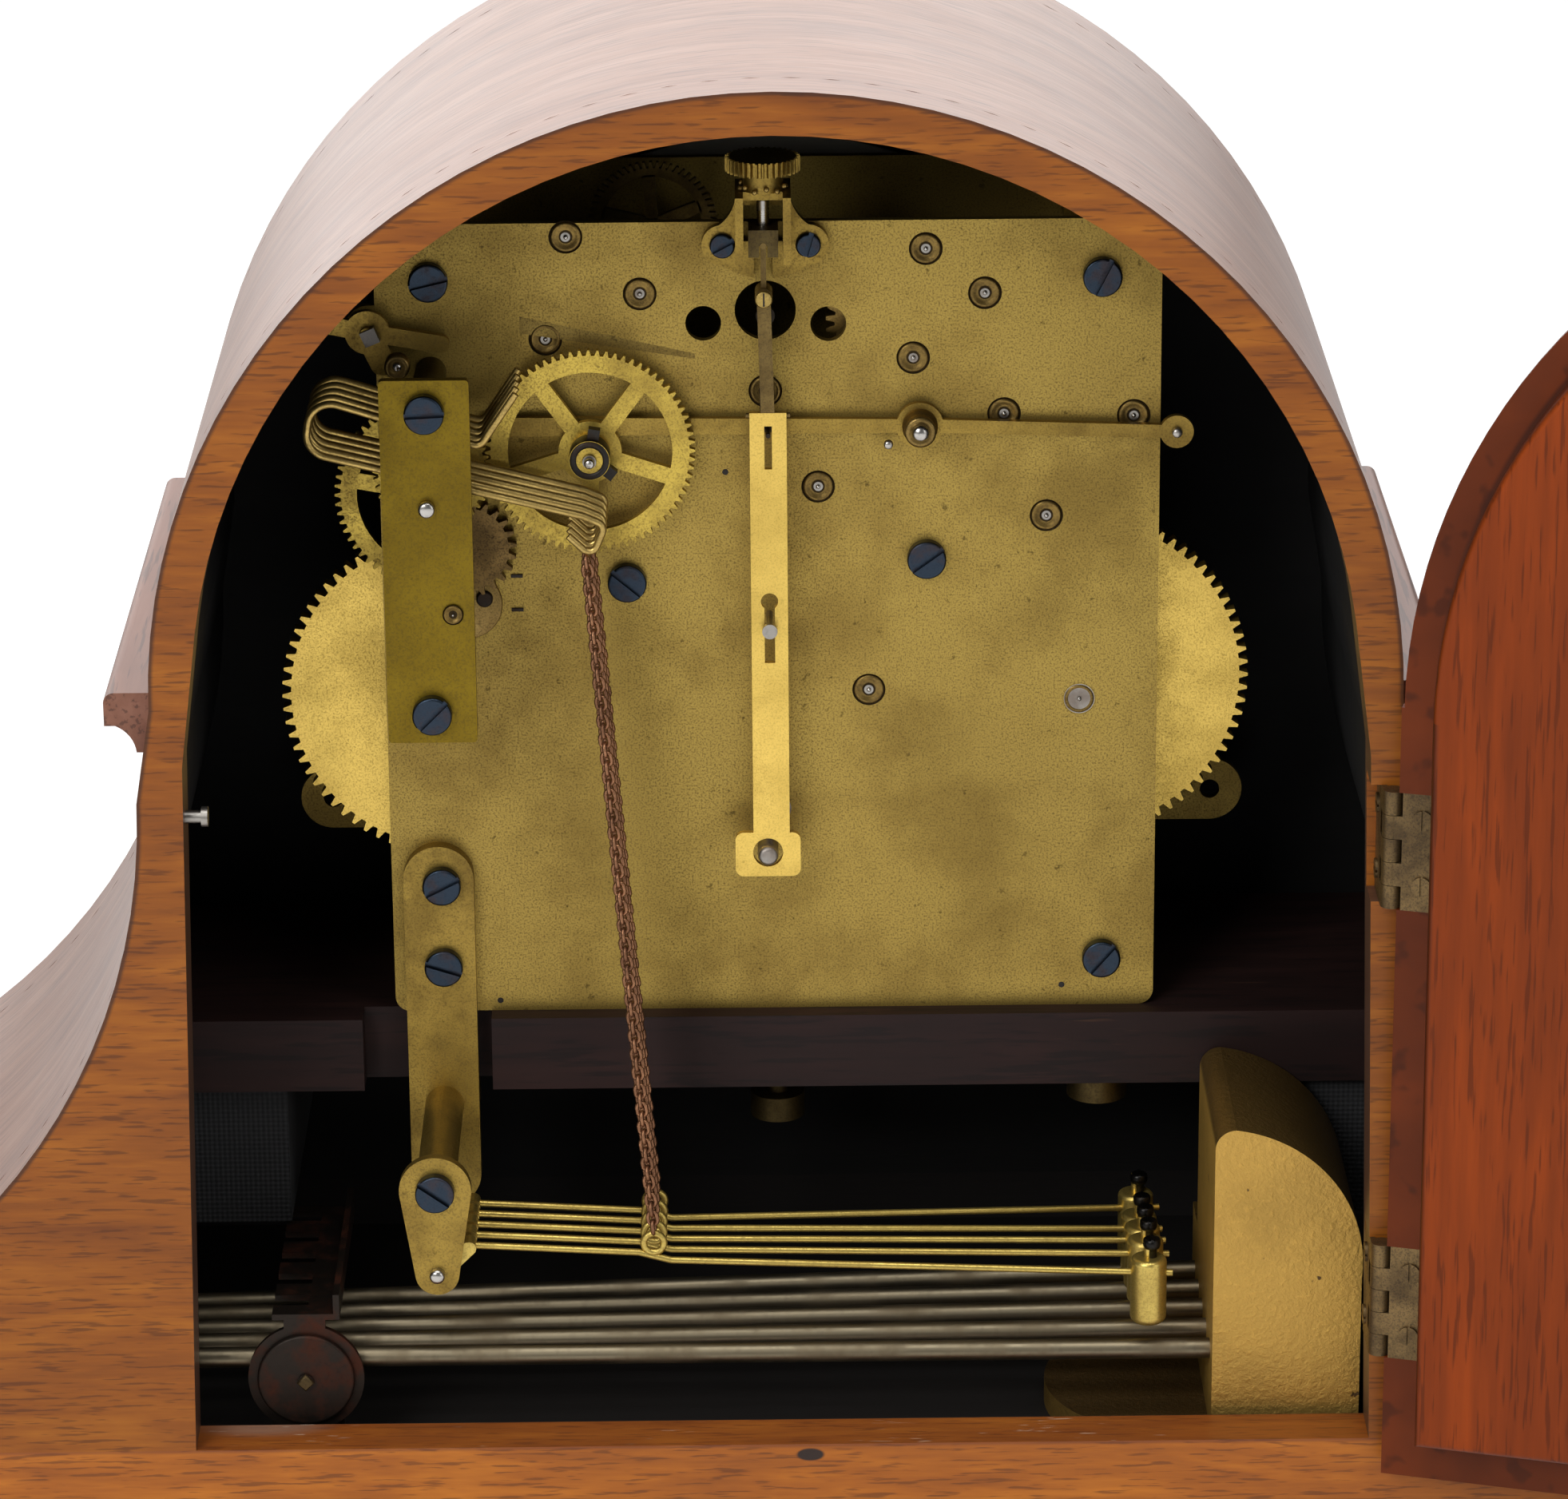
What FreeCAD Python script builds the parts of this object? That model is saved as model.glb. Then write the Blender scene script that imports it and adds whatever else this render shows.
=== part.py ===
import FreeCAD, Part
import math
import os

# A tambour mantel clock with a chiming movement, seen with its back door open.
# Origin: centre of the underside of the base. +X is to the right of the dial's reader,
# the front (dial) looks along -Y, the back along +Y, +Z is up. Millimetres.

os.makedirs("parts", exist_ok=True)
V = FreeCAD.Vector

# Shared values for cuts and fits
overrun = 5.0
running_gap = 0.05
free_gap = 0.3
curve_gap = 0.35
quarter_turn = 90.0
half_way = math.sqrt(1 / 2)

# Case: heights are from the table, drops are below the centre of the round top
arch_height = 175.0
arch_radius = 115.0
base_height = 25.4
waist_drop = 18.0
waist_out = 3.0
toe_height = 11.6
toe_length = 20.0
toe_round = 4.0
board_thickness = 11.0
shell_thickness = 6.0
case_depth = 140.0
base_overhang = 18.0
front_overhang = 20.0
base_band = 10.0
base_step = 2.0
base_well_floor = 15.0
base_well_half = 150.0
rim_width = 8.0
waist_rim_width = 5.7
foot_rim_width = 2.8
opening_waist_drop = 11.0
opening_shoulder_rise = 14.9
dial_hole_radius = 71.0

opening_radius = arch_radius - rim_width
opening_waist = arch_radius - waist_rim_width
opening_foot = arch_radius - foot_rim_width
back_y = case_depth / 2
front_y = -case_depth / 2
inner_back_y = back_y - board_thickness
inner_front_y = front_y + board_thickness
base_top_drop = arch_height - base_height
sweep_radius = base_top_drop - waist_drop - toe_height
sweep_x = arch_radius + waist_out + sweep_radius
foot_x = sweep_x + toe_length + toe_round

# Impost mouldings
impost_out = 8.8
impost_rise = 2.0
impost_drop = 9.6
impost_lip = 4.4
impost_set_back = 5.0

# Seat board, cleats and bolts
seat_top_drop = 83.7
seat_thickness = 15.0
seat_back_y = 14.5
seat_front_y = -50.0
seat_beyond = 13.0
seat_half = arch_radius + seat_beyond
seat_notch_before = 9.7
seat_notch_after = 15.6
seat_notch_depth = 7.0
cleat_inside = 18.0
cleat_beyond = 19.0
cleat_inner = arch_radius - cleat_inside
cleat_outer = arch_radius + cleat_beyond
cleat_height = 29.0
cleat_back_y = 12.0
seat_bolt_radius = 2.0
seat_nut_radius = 6.0
seat_nut_height = 8.0
middle_bolt_y = -20.0
middle_bolt_below = 20.0
middle_bolt_head = 5.0
middle_bolt_head_radius = 5.5

# Latch pin
latch_drop = 22.3
latch_in = 5.0
latch_y = back_y - latch_in
latch_radius = 1.2
latch_head_radius = 1.9
latch_head_length = 1.2
latch_reach = 3.0
latch_bury = 5.0

# Back door: closed outline, pin line and resting angle
door_inset = 3.0
door_half = arch_radius - door_inset
door_foot_drop = 154.8
door_gap = 0.3
door_lip = 4.5
door_lip_width = 7.5
door_panel_half = door_half - door_lip_width
door_panel_foot_drop = 145.0
door_panel_depth = 8.0
door_round = 2.5
door_panel_round = 1.5
door_arch_inset = 0.5
door_rest_angle = 163.4
pin_gap = 1.4
pin_out = 2.2
pin_y = back_y + pin_out
hinge_top_centre_drop = 28.1
hinge_low_centre_drop = 119.0
hinge_length = 23.0
knuckle_radius = 2.0
knuckle_count = 5
hinge_pin_radius = 0.9
leaf_thickness = 1.0
leaf_width = 8.4
leaf_sweep_gap = 1.1
door_leaf_width = 7.2
hinge_screw_head = 1.9
hinge_screw_shank = 1.0
hinge_screw_length = 7.0
hinge_screw_spread = 6.5
hinge_screw_proud = 0.5
hinge_screw_share = 0.55
slot_width = 0.5
slot_depth = 0.4
pin_x = -(door_half + pin_gap)
door_inner_y = back_y + door_gap

# Movement plates: places on the plates are shares of the plate's width and height
plate_width = 149.0
plate_height = 159.4
plate_centre_x = 0.6
plate_centre_drop = 4.0
plate_thickness = 2.0
plate_back_y = 10.0
plate_gap = 48.0
plate_corner = 3.0
pillar_radius = 3.4
pillar_collar = 5.0
pillar_collar_length = 4.0
pillar_places_share = [
    (0.431, 0.431),
    (-0.424, 0.430),
    (0.185, 0.055),
    (-0.201, 0.081),
    (-0.431, -0.437),
    (0.434, -0.433),
]
sink_places_share = [
    (0.256, 0.483),
    (0.163, 0.413),
    (-0.200, 0.465),
    (-0.275, 0.410),
    (-0.184, 0.331),
    (0.005, 0.292),
    (0.284, 0.358),
    (-0.300, 0.261),
    (-0.466, 0.257),
    (-0.062, 0.172),
    (-0.355, 0.133),
    (-0.126, -0.086),
]
hole_places_share = [
    (0.083, 0.376),
    (-0.076, 0.374),
]
sink_radius = 3.2
sink_depth = 0.7
pivot_radius = 0.9
hole_radius = 3.4
plate_screw_head = 3.75
plate_screw_head_height = 2.2
plate_screw_shank = 1.8
plate_screw_length = 8.0
screw_edge = 0.5
screw_slot_depth = 0.9
pillar_screw_turn_shares = [0.15, 0.7, -0.45, 0.4, 0.55, -0.2]
bridge_screw_turn_shares = [0.03, 0.5]
bracket_screw_turn_shares = [0.82, 0.31]
hammer_screw_turn_shares = [0.3, -0.4]

# Trains
chime_x = 62.5
chime_drop = 22.5
chime_teeth = 76
strike_x = -58.9
strike_drop = 20.0
strike_radius = 33.0
strike_teeth = 78
time_x = 0.0
time_drop = 42.0
time_radius = 28.0
time_teeth = 72
great_back_y = -3.5
great_thickness = 3.0
time_back_y = -22.0
barrel_radius = 24.0
barrel_length = 26.0
time_barrel_length = 11.0
arbor_radius = 3.0
winding_square = 3.4
winding_reach = 16.0
second_x = 64.9
second_rise = 20.9
second_teeth = 24
second_radius = 18.8
second_rim_teeth = 64
second_back_y = 4.5
second_thickness = 2.0
second_arbor_radius = 1.2
second_tube_radius = 3.0
tooth_share = 0.42
addendum_share = 0.85
tooth_root_share = 1.45
tooth_tip_share = 0.5
dedendum_share = 1.15

# Spoked wheel, drum and idler, behind the back plate
spoked_x = 34.7
spoked_rise = 32.3
spoked_teeth = 72
drum_x = 64.8
drum_rise = 28.4
drum_teeth = 40
drum_small_teeth = 21
idler_x = 58.9
idler_rise = 12.4
idler_teeth = 24
spoked_front_y = 13.5
spoked_thickness = 1.6
spoked_hub = 6.0
spoked_collar = 3.85
spoked_hub_back_y = 21.0
spoked_hub_bore = 1.3
spoked_rim_share = 0.80
spoke_width = 3.2
spoke_count = 5
spoke_turn_share = -0.0486
second_spoke_turn_share = 0.03
idler_front_y = 10.8
idler_thickness = 1.8
idler_stud = 1.2
cam_radius = 3.1
cam_core = 2.1
cam_width = 2.6
drum_arbor_radius = 1.5
drum_arbor_reach = 1.4

# Drum bridge
bridge_back_y = 37.5
bridge_left = 56.4
bridge_right = 73.2
bridge_top_rise = 53.1
bridge_foot_drop = 18.0
bridge_corner = 0.8
bridge_post_radius = 3.0
bridge_post_top_rise = 46.9
bridge_post_low_drop = 12.2
bridge_post_x = 64.8

# Long lever and three-arm lever
lever_front_y = 11.2
lever_thickness = 1.5
lever_hub_x = -28.0
lever_hub_rise = 36.1
lever_hub_radius = 4.5
lever_tip_x = 54.0
lever_tip_rise = 36.6
lever_tip_radius = 1.9
lever_half_width = 1.3
lever_disc_x = -76.9
lever_disc_rise = 34.4
lever_disc_radius = 3.2
lever_stud_radius = 1.4
arm_front_y = 12.4
arm_thickness = 1.6
arm_hub_shares = [0.66435, 0.48522]
arm_hub_x = arch_radius * arm_hub_shares[0]
arm_hub_rise = arch_radius * arm_hub_shares[1]
arm_hub_radius = 4.2
arm_left_out = 13.8
arm_left_fall = 2.4
arm_right_out = 7.6
arm_right_lift = 1.6
arm_low_out = 2.8
arm_low_fall = 6.0
arm_left_x = arm_hub_x - arm_left_out
arm_left_rise = arm_hub_rise - arm_left_fall
arm_right_x = arm_hub_x + arm_right_out
arm_right_rise = arm_hub_rise + arm_right_lift
arm_low_x = arm_hub_x - arm_low_out
arm_low_rise = arm_hub_rise - arm_low_fall
arm_tip_radius = 1.7
arm_low_radius = 2.4
arm_arbor_radius = 1.3
arm_stand_width = 9.0

# Ears of the front plate that hold the movement to the case
ear_out_x = 89.0
ear_drop = 57.0
ear_radius = 6.5
ear_hole = 2.0

# Suspension and pendulum
hang_x = 1.5
bracket_ear_left = -7.0
bracket_ear_right = 9.2
bracket_ear_radius = 3.9
bracket_ear_rise = 71.7
bracket_ear_thickness = 2.2
bracket_belly_rise = 65.2
bracket_neck_rise = 80.6
bracket_half = 5.2
bracket_wall = 1.5
bracket_back_y = 25.0
bracket_foot_rise = 71.2
recess_foot_rise = 72.4
recess_top_rise = 79.4
slit_half = 1.75
bracket_top_rise = 84.0
bracket_lid = 1.6
bracket_lid_back_y = 20.2
bracket_screw_head = 2.4
bracket_screw_shank = 1.3
nut_radius = 6.7
nut_rise = 87.8
nut_height = 2.7
nut_teeth = 36
nut_collar = 3.7
nut_screw = 1.0
hang_y = 18.5
hang_screw_lift = 2.0
hang_screw_spare = 0.8
hang_pin_radius = 0.6
block_depth = 8.0
block_foot_rise = 72.0
block_height = 5.2
block_gap = 0.9
spring_thickness = 0.5
spring_half = 1.6
hang_rise = 74.2
ferrule_rise = 63.9
ferrule_radius = 1.65
ferrule_half = 2.6
bar_half = 1.3
bar_thickness = 1.2
rod_foot_rise = 38.6
cross_rise = 40.2
cross_half = 4.2
cross_radius = 0.5
strip_half = 3.5
strip_thickness = 1.4
strip_x = 0.9
strip_top_rise = 40.8
strip_foot_drop = 44.5
strip_slot_half = 0.72
strip_slot_foot_rise = 29.7
strip_slot_top_rise = 38.2
keyhole_rise = 3.4
keyhole_radius = 1.65
keyhole_slot_half = 1.0
keyhole_foot_drop = 9.0
foot_half = 6.3
foot_top_drop = 43.6
foot_low_drop = 52.6
swing_foot_x = 1.6
foot_round = 1.6
foot_hole_radius = 2.9
foot_hole_drop = 47.7
stud_drop = 2.0
stud_radius = 0.6
stud_head_radius = 1.45
stud_head_length = 1.0
stud_gap = 0.5
foot_stud_radius = 2.0
foot_stud_proud = 2.6
crutch_x = 1.2
crutch_rise = 58.4
crutch_hub = 1.8
crutch_front_y = 13.0
crutch_thickness = 1.2
crutch_foot_rise = 35.6
crutch_half = 1.2
crutch_pin_radius = 0.45
crutch_pin_rise = 36.4
crutch_arbor_radius = 1.1
crutch_hole_radius = 5.8

# Hammers
hammer_out = 0.634
hammer_x = plate_centre_x + pillar_places_share[5][0] * plate_width + hammer_out
hammer_drop = 119.7
strip_screw_top_drop = 56.0
hammer_strip_half = 6.85
hammer_strip_top_drop = 48.2
hammer_strip_low_drop = 124.2
hammer_strip_thickness = 3.0
post_drop = 102.3
post_radius = 3.8
link_front_y = 54.0
link_thickness = 2.0
link_top_radius = 6.9
link_low_radius = 4.2
hammer_arbor_radius = 1.5
hub_radius = 3.1
hub_length = 3.6
hub_reach_x = 59.9
hub_reach_drop = 116.2
first_hub_y = 50.0
hammer_count = 5
hammer_lifts = [1.7, 1.2, -0.4, -2.4, -2.1]
hub_pitch = 5.0
wire_radius = 0.68
wire_one_x = 27.3
wire_one_drop = 118.1
wire_two_x = 21.1
wire_two_drop = 119.8
wire_end_drop = 125.3
eye_x = 24.4
eye_ring = 1.95
head_radius = 3.5
head_height = 13.6
head_top_drop = 121.8
head_nose = 1.4
head_crown = 1.0
head_screw_radius = 0.9
head_screw_height = 3.8
rod_pitch = 10.0
rod_in = 7.0
head_from_gong = 12.0
wire_past_head = 4.6

# Lifters and chains
lifter_x = 68.5
lifter_rise = 38.5
lifter_radius = 0.7
first_lifter_y = 33.4
lifter_pitch = 4.2
lifter_arbor_radius = 0.9
lifter_arbor_front_y = 15.5
lifter_hub = 2.0
lifter_hub_length = 2.2
lifter_link_half = 0.8
lifter_tip_x = 47.9
lifter_tip_rise = 49.2
lifter_bend = 2.0
lifter_turn = 4.4
lifter_low_x = 54.8
lifter_low_rise = 39.0
lifter_far_x = 86.0
lifter_far_rise = 48.9
lifter_back_x = 87.6
lifter_back_rise = 38.3
lifter_hook_x = 35.9
lifter_hook_rise = 25.3
hook_one_x = 31.6
hook_one_rise = 23.4
hook_two_x = 34.2
hook_two_rise = 17.2
hook_end_x = 38.6
hook_end_rise = 21.4
hook_bend = 1.6
chain_top_x = 35.2
chain_top_rise = 16.3
chain_eye_radius = 1.05
chain_eye_half = 1.2
chain_radius = 0.95
chain_low_x = 24.4
chain_low_drop = 114.0

# Gong block, chime rods
gong_inset = 3.5
gong_width = 28.5
gong_clear = 2.0
gong_left_x = gong_inset - arch_radius
gong_right_x = gong_left_x + gong_width
gong_top_drop = 91.0
gong_shoulder_drop = 122.1
gong_corner = 4.0
gong_back_y = inner_back_y - gong_clear
gong_front_y = 4.0
first_rod_y = gong_back_y - rod_in
head_x = gong_right_x + head_from_gong
wire_end_x = head_x - wire_past_head
gong_step_y = 15.2
gong_step_drop = 129.0
gong_flange_in = 5.0
gong_flange_x = gong_right_x + gong_flange_in
gong_flange_radius = 26.0
gong_flange_height = 5.0
rod_thickness = 2.0
rod_bury = 12.0
rod_clear = 2.0
rod_left_x = gong_right_x - rod_bury
rod_right_x = base_well_half - rod_clear
rod_near_drop = 139.6
rod_drop_step = 0.35
rod_right_near_drop = 139.4
rod_right_step = 1.9

# Comb plate that rests on the rods
comb_in = 23.2
comb_x = arch_radius - comb_in
comb_drop = 141.5
comb_rim = 11.2
comb_disc = 9.4
comb_out = 4.2
comb_front_y = first_rod_y + comb_out
comb_thickness = 1.2
comb_neck_half = 4.0
comb_rise_drop = 128.0
comb_before = 6.8
comb_after = 6.2
comb_left_x = comb_x - comb_before
comb_right_x = comb_x + comb_after
comb_low_y = 4.0
comb_tooth = 3.4
comb_pivot = 1.6
comb_rivet = 1.5
comb_stand_half = 7.0
comb_tooth_back = 1.1
comb_fold = 4.0

# Front: dial, bezel, glass, hands
dial_radius = 76.0
dial_thickness = 1.2
dial_foot_radius = 1.5
dial_foot_place_share = 0.80
winding_hole = 4.6
centre_hole = 5.2
bezel_inner = 68.0
bezel_outer = 82.0
bezel_depth = 7.0
bezel_step = 3.0
glass_radius = 73.0
glass_thickness = 1.8
glass_seat = 3.4
bezel_pin_x = 86.0
bezel_pin_radius = 1.0
bezel_knuckle = 2.2
bezel_knuckle_count = 3
bezel_hinge_length = 24.0
hand_thickness = 0.6
hour_length = 40.0
hour_half = 2.6
hour_hub = 5.0
minute_length = 58.0
minute_half = 1.9
minute_hub = 3.6
hand_hub_length = 3.2
minute_hand_angle = 60.0
hour_hand_angle = 305.0
cannon_radius = 2.0
cannon_tip = 3.4

plate_front_y = plate_back_y - plate_thickness
front_plate_back_y = plate_front_y - plate_gap
front_plate_front_y = front_plate_back_y - plate_thickness
plate_mid_z = arch_height - plate_centre_drop


def rise(value):
    return arch_height + value


def drop(value):
    return arch_height - value


def plate_place(shares):
    x = plate_centre_x + shares[0] * plate_width
    z = plate_mid_z + shares[1] * plate_height
    return x, z


def fuse(shapes):
    result = shapes[0]
    if len(shapes) > 1:
        result = shapes[0].fuse(shapes[1:])
    result = result.removeSplitter()
    return result


def single(shape):
    if len(shape.Solids) == 1:
        return shape.Solids[0]
    return shape


def block(x0, x1, y0, y1, z0, z1):
    corner = V(min(x0, x1), min(y0, y1), min(z0, z1))
    return Part.makeBox(abs(x1 - x0), abs(y1 - y0), abs(z1 - z0), corner)


def peg(x, z, radius, y0, y1):
    return Part.makeCylinder(radius, y1 - y0, V(x, y0, z), V(0, 1, 0))


def peg_x(y, z, radius, x0, x1):
    return Part.makeCylinder(radius, x1 - x0, V(x0, y, z), V(1, 0, 0))


def peg_z(x, y, radius, z0, z1):
    return Part.makeCylinder(radius, z1 - z0, V(x, y, z0), V(0, 0, 1))


def slab(points, y0, y1):
    corners = [V(p[0], y0, p[1]) for p in points]
    face = Part.Face(Part.makePolygon(corners + [corners[0]]))
    return face.extrude(V(0, y1 - y0, 0))


def profile(edges, y0, y1):
    face = Part.Face(Part.Wire(edges))
    return face.extrude(V(0, y1 - y0, 0))


def line(a, b):
    return Part.LineSegment(a, b).toShape()


def arc(a, b, c):
    return Part.Arc(a, b, c).toShape()


def at(x, y, z):
    return V(x, y, z)


def circle_point(x, z, radius, angle, y):
    return V(x + radius * math.cos(angle), y, z + radius * math.sin(angle))


def link_bar(a, b, radius_a, radius_b, y0, y1):
    dx = b[0] - a[0]
    dz = b[1] - a[1]
    length = math.hypot(dx, dz)
    base = math.atan2(dz, dx)
    lean = math.acos((radius_a - radius_b) / length)
    a1 = circle_point(a[0], a[1], radius_a, base + lean, y0)
    a2 = circle_point(a[0], a[1], radius_a, base + math.pi, y0)
    a3 = circle_point(a[0], a[1], radius_a, base - lean, y0)
    b1 = circle_point(b[0], b[1], radius_b, base + lean, y0)
    b2 = circle_point(b[0], b[1], radius_b, base, y0)
    b3 = circle_point(b[0], b[1], radius_b, base - lean, y0)
    return profile([arc(a1, a2, a3), line(a3, b3), arc(b3, b2, b1), line(b1, a1)], y0, y1)


def rounded(x0, x1, z0, z1, radius, y0, y1):
    core = block(x0, x1, y0, y1, z0, z1)
    uprights = [e for e in core.Edges if abs(e.tangentAt(e.FirstParameter).y) == 1.0]
    return core.makeFillet(radius, uprights)


def path_wire(points, bends):
    edges = []
    start = points[0]
    for index in range(1, len(points) - 1):
        before = points[index - 1]
        here = points[index]
        after = points[index + 1]
        into = (here - before).normalize()
        out = (after - here).normalize()
        turn = into.getAngle(out)
        reach = bends[index - 1] * math.tan(turn / 2)
        first = here - into * reach
        last = here + out * reach
        middle_way = (out - into).normalize()
        middle_reach = bends[index - 1] * (1 / math.cos(turn / 2) - 1)
        middle = here + middle_way * middle_reach
        edges.append(line(start, first))
        edges.append(arc(first, middle, last))
        start = last
    edges.append(line(start, points[-1]))
    return Part.Wire(edges)


def tube(points, bends, radius):
    spine = path_wire(points, bends)
    way = points[1] - points[0]
    ring = Part.Wire(Part.makeCircle(radius, points[0], way))
    return spine.makePipeShell([ring], True, False)


def straight(a, b, radius):
    way = b - a
    return Part.makeCylinder(radius, way.Length, a, way)


def gear(x, z, teeth, pitch_radius, y0, y1, turn):
    step = 2 * math.pi / teeth
    module = 2 * pitch_radius / teeth
    tip = pitch_radius + addendum_share * module
    root = pitch_radius - dedendum_share * module
    wide = step * tooth_share / 2
    corners = []
    for index in range(teeth):
        middle = turn + index * step
        corners.append((root, middle - wide * tooth_root_share))
        corners.append((tip, middle - wide * tooth_tip_share))
        corners.append((tip, middle + wide * tooth_tip_share))
        corners.append((root, middle + wide * tooth_root_share))
    places = [circle_point(x, z, radius, angle, y0) for radius, angle in corners]
    face = Part.Face(Part.makePolygon(places + [places[0]]))
    return face.extrude(V(0, y1 - y0, 0))


def facing(x0, z0, x1, z1):
    return math.atan2(z1 - z0, x1 - x0)


def meshing(turn, x0, z0, teeth0, x1, z1, teeth1):
    toward = facing(x0, z0, x1, z1)
    phase = (toward - turn) * teeth0 / (2 * math.pi)
    back = toward + math.pi
    shift = (2 * phase + 1) * math.pi / teeth1
    return back + shift


def spokes(x, z, outer, width, count, turn_share, y0, y1):
    bars = []
    for index in range(count):
        angle = (turn_share + index / count) * 2 * math.pi
        bar = block(0, outer, y0, y1, -width / 2, width / 2)
        bar.rotate(V(0, 0, 0), V(0, 1, 0), -math.degrees(angle))
        bar.translate(V(x, 0, z))
        bars.append(bar)
    return bars


def crossed(wheel, x, z, rim, hub, width, count, turn_share, y0, y1):
    space = peg(x, z, rim, y0 - overrun, y1 + overrun)
    kept = [peg(x, z, hub, y0 - overrun, y1 + overrun)]
    kept += spokes(x, z, rim + width, width, count, turn_share, y0 - overrun, y1 + overrun)
    return wheel.cut(space.cut(fuse(kept)))


def softened(shape, y, radius):
    rims = [e for e in shape.Edges if all(abs(v.Y - y) < running_gap for v in e.Vertexes)]
    return shape.makeFillet(radius, rims)


def screw_y(x, z, head, height, shank, length, seat_y, turn_share):
    top = seat_y + height
    cap = softened(peg(x, z, head, seat_y, top), top, screw_edge)
    body = fuse([cap, peg(x, z, shank, seat_y - length, seat_y)])
    groove = block(x - head - overrun, x + head + overrun, top - screw_slot_depth, top + overrun,
                   z - slot_width, z + slot_width)
    groove.rotate(V(x, 0, z), V(0, 1, 0), quarter_turn * turn_share)
    return body.cut(groove)


def save(name, shapes):
    shape = shapes[0] if len(shapes) == 1 else Part.makeCompound(shapes)
    if len(shape.Solids) == 1:
        shape = shape.Solids[0]
    shape.exportStep("parts/" + name + ".step")
    print(name, len(shape.Solids), shape.isValid(), round(shape.Volume))


# Case outline, from the centre of the round top outward, drawn in to the given inset
def case_outline(inset, y0, y1):
    radius = arch_radius - inset
    foot = drop(base_top_drop)
    toe_z = drop(waist_drop + sweep_radius) - inset
    reach = (sweep_radius + inset) * half_way
    corner = toe_round * (1 - half_way)
    sides = []
    for hand in (1, -1):
        x_foot = foot_x - inset
        a = at(hand * radius, y0, arch_height)
        b = at(hand * (arch_radius + waist_out - inset), y0, drop(waist_drop))
        mid = at(hand * (sweep_x - reach), y0, drop(waist_drop) - reach)
        c = at(hand * sweep_x, y0, toe_z)
        d = at(hand * (x_foot - toe_round), y0, toe_z)
        e = at(hand * (x_foot - corner), y0, toe_z - corner)
        f = at(hand * x_foot, y0, toe_z - toe_round)
        g = at(hand * x_foot, y0, foot)
        sides.append((a, b, mid, c, d, e, f, g))
    r = sides[0]
    l = sides[1]
    edges = [arc(l[0], at(0, y0, arch_height + radius), r[0])]
    edges += [line(r[0], r[1]), arc(r[1], r[2], r[3]), line(r[3], r[4]), arc(r[4], r[5], r[6])]
    edges += [line(r[6], r[7]), line(r[7], l[7]), line(l[7], l[6]), arc(l[6], l[5], l[4])]
    edges += [line(l[4], l[3]), arc(l[3], l[2], l[1]), line(l[1], l[0])]
    return profile(edges, y0, y1)


def arched(half, radius, foot_z, spring_z, y0, y1):
    lean = math.asin((spring_z - arch_height) / radius)
    r0 = circle_point(0, arch_height, radius, lean, y0)
    l0 = circle_point(0, arch_height, radius, math.pi - lean, y0)
    top = at(0, y0, arch_height + radius)
    edges = [arc(l0, top, r0)]
    r1 = at(half, y0, spring_z) if half > r0.x else r0
    r2 = at(half, y0, foot_z)
    l1 = at(-half, y0, spring_z) if half > r0.x else l0
    l2 = at(-half, y0, foot_z)
    if half > r0.x:
        edges.append(line(r0, r1))
    edges += [line(r1, r2), line(r2, l2), line(l2, l1)]
    if half > r0.x:
        edges.append(line(l1, l0))
    return profile(edges, y0, y1)


def back_opening(y0, y1):
    lean = math.asin(opening_shoulder_rise / opening_radius)
    foot_z = drop(base_top_drop)
    r0 = circle_point(0, arch_height, opening_radius, lean, y0)
    l0 = circle_point(0, arch_height, opening_radius, math.pi - lean, y0)
    r1 = at(opening_waist, y0, drop(opening_waist_drop))
    l1 = at(-opening_waist, y0, drop(opening_waist_drop))
    r2 = at(opening_foot, y0, foot_z)
    l2 = at(-opening_foot, y0, foot_z)
    edges = [arc(l0, at(0, y0, arch_height + opening_radius), r0), line(r0, r1), line(r1, r2)]
    edges += [line(r2, l2), line(l2, l1), line(l1, l0)]
    return profile(edges, y0, y1)


# Base plinth: a moulded edge at the front and the two sides, a flush back
def base_side_profile(half, y0, y1):
    top_half = half - base_overhang
    step_half = half - base_step
    quarter = base_overhang - base_step
    foot_lift = base_height - base_band - base_step
    edges = []
    r = [
        at(half, y0, 0),
        at(half, y0, base_band),
        at(step_half, y0, base_band),
        at(step_half, y0, base_band + base_step),
        at(top_half, y0, base_height),
    ]
    mid_x = top_half + quarter * half_way
    mid_z = base_band + base_step + foot_lift * half_way
    r_mid = at(mid_x, y0, mid_z)
    l = [at(-p.x, y0, p.z) for p in r]
    l_mid = at(-mid_x, y0, mid_z)
    edges += [line(l[0], r[0]), line(r[0], r[1]), line(r[1], r[2]), line(r[2], r[3])]
    edges += [arc(r[3], r_mid, r[4]), line(r[4], l[4]), arc(l[4], l_mid, l[3])]
    edges += [line(l[3], l[2]), line(l[2], l[1]), line(l[1], l[0])]
    return profile(edges, y0, y1)


base_half = foot_x + base_overhang
base_front_y = front_y - front_overhang
across = base_side_profile(base_half, base_front_y - overrun, back_y)
deep_half = back_y - base_front_y
along = base_side_profile(deep_half, -base_half - overrun, base_half + overrun)
along.rotate(V(0, 0, 0), V(0, 0, 1), quarter_turn)
along.translate(V(0, back_y, 0))
base = across.common(along)
well = block(-base_well_half, base_well_half, inner_front_y, inner_back_y,
             base_well_floor, base_height + overrun)
base = single(base.cut(well))

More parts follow.
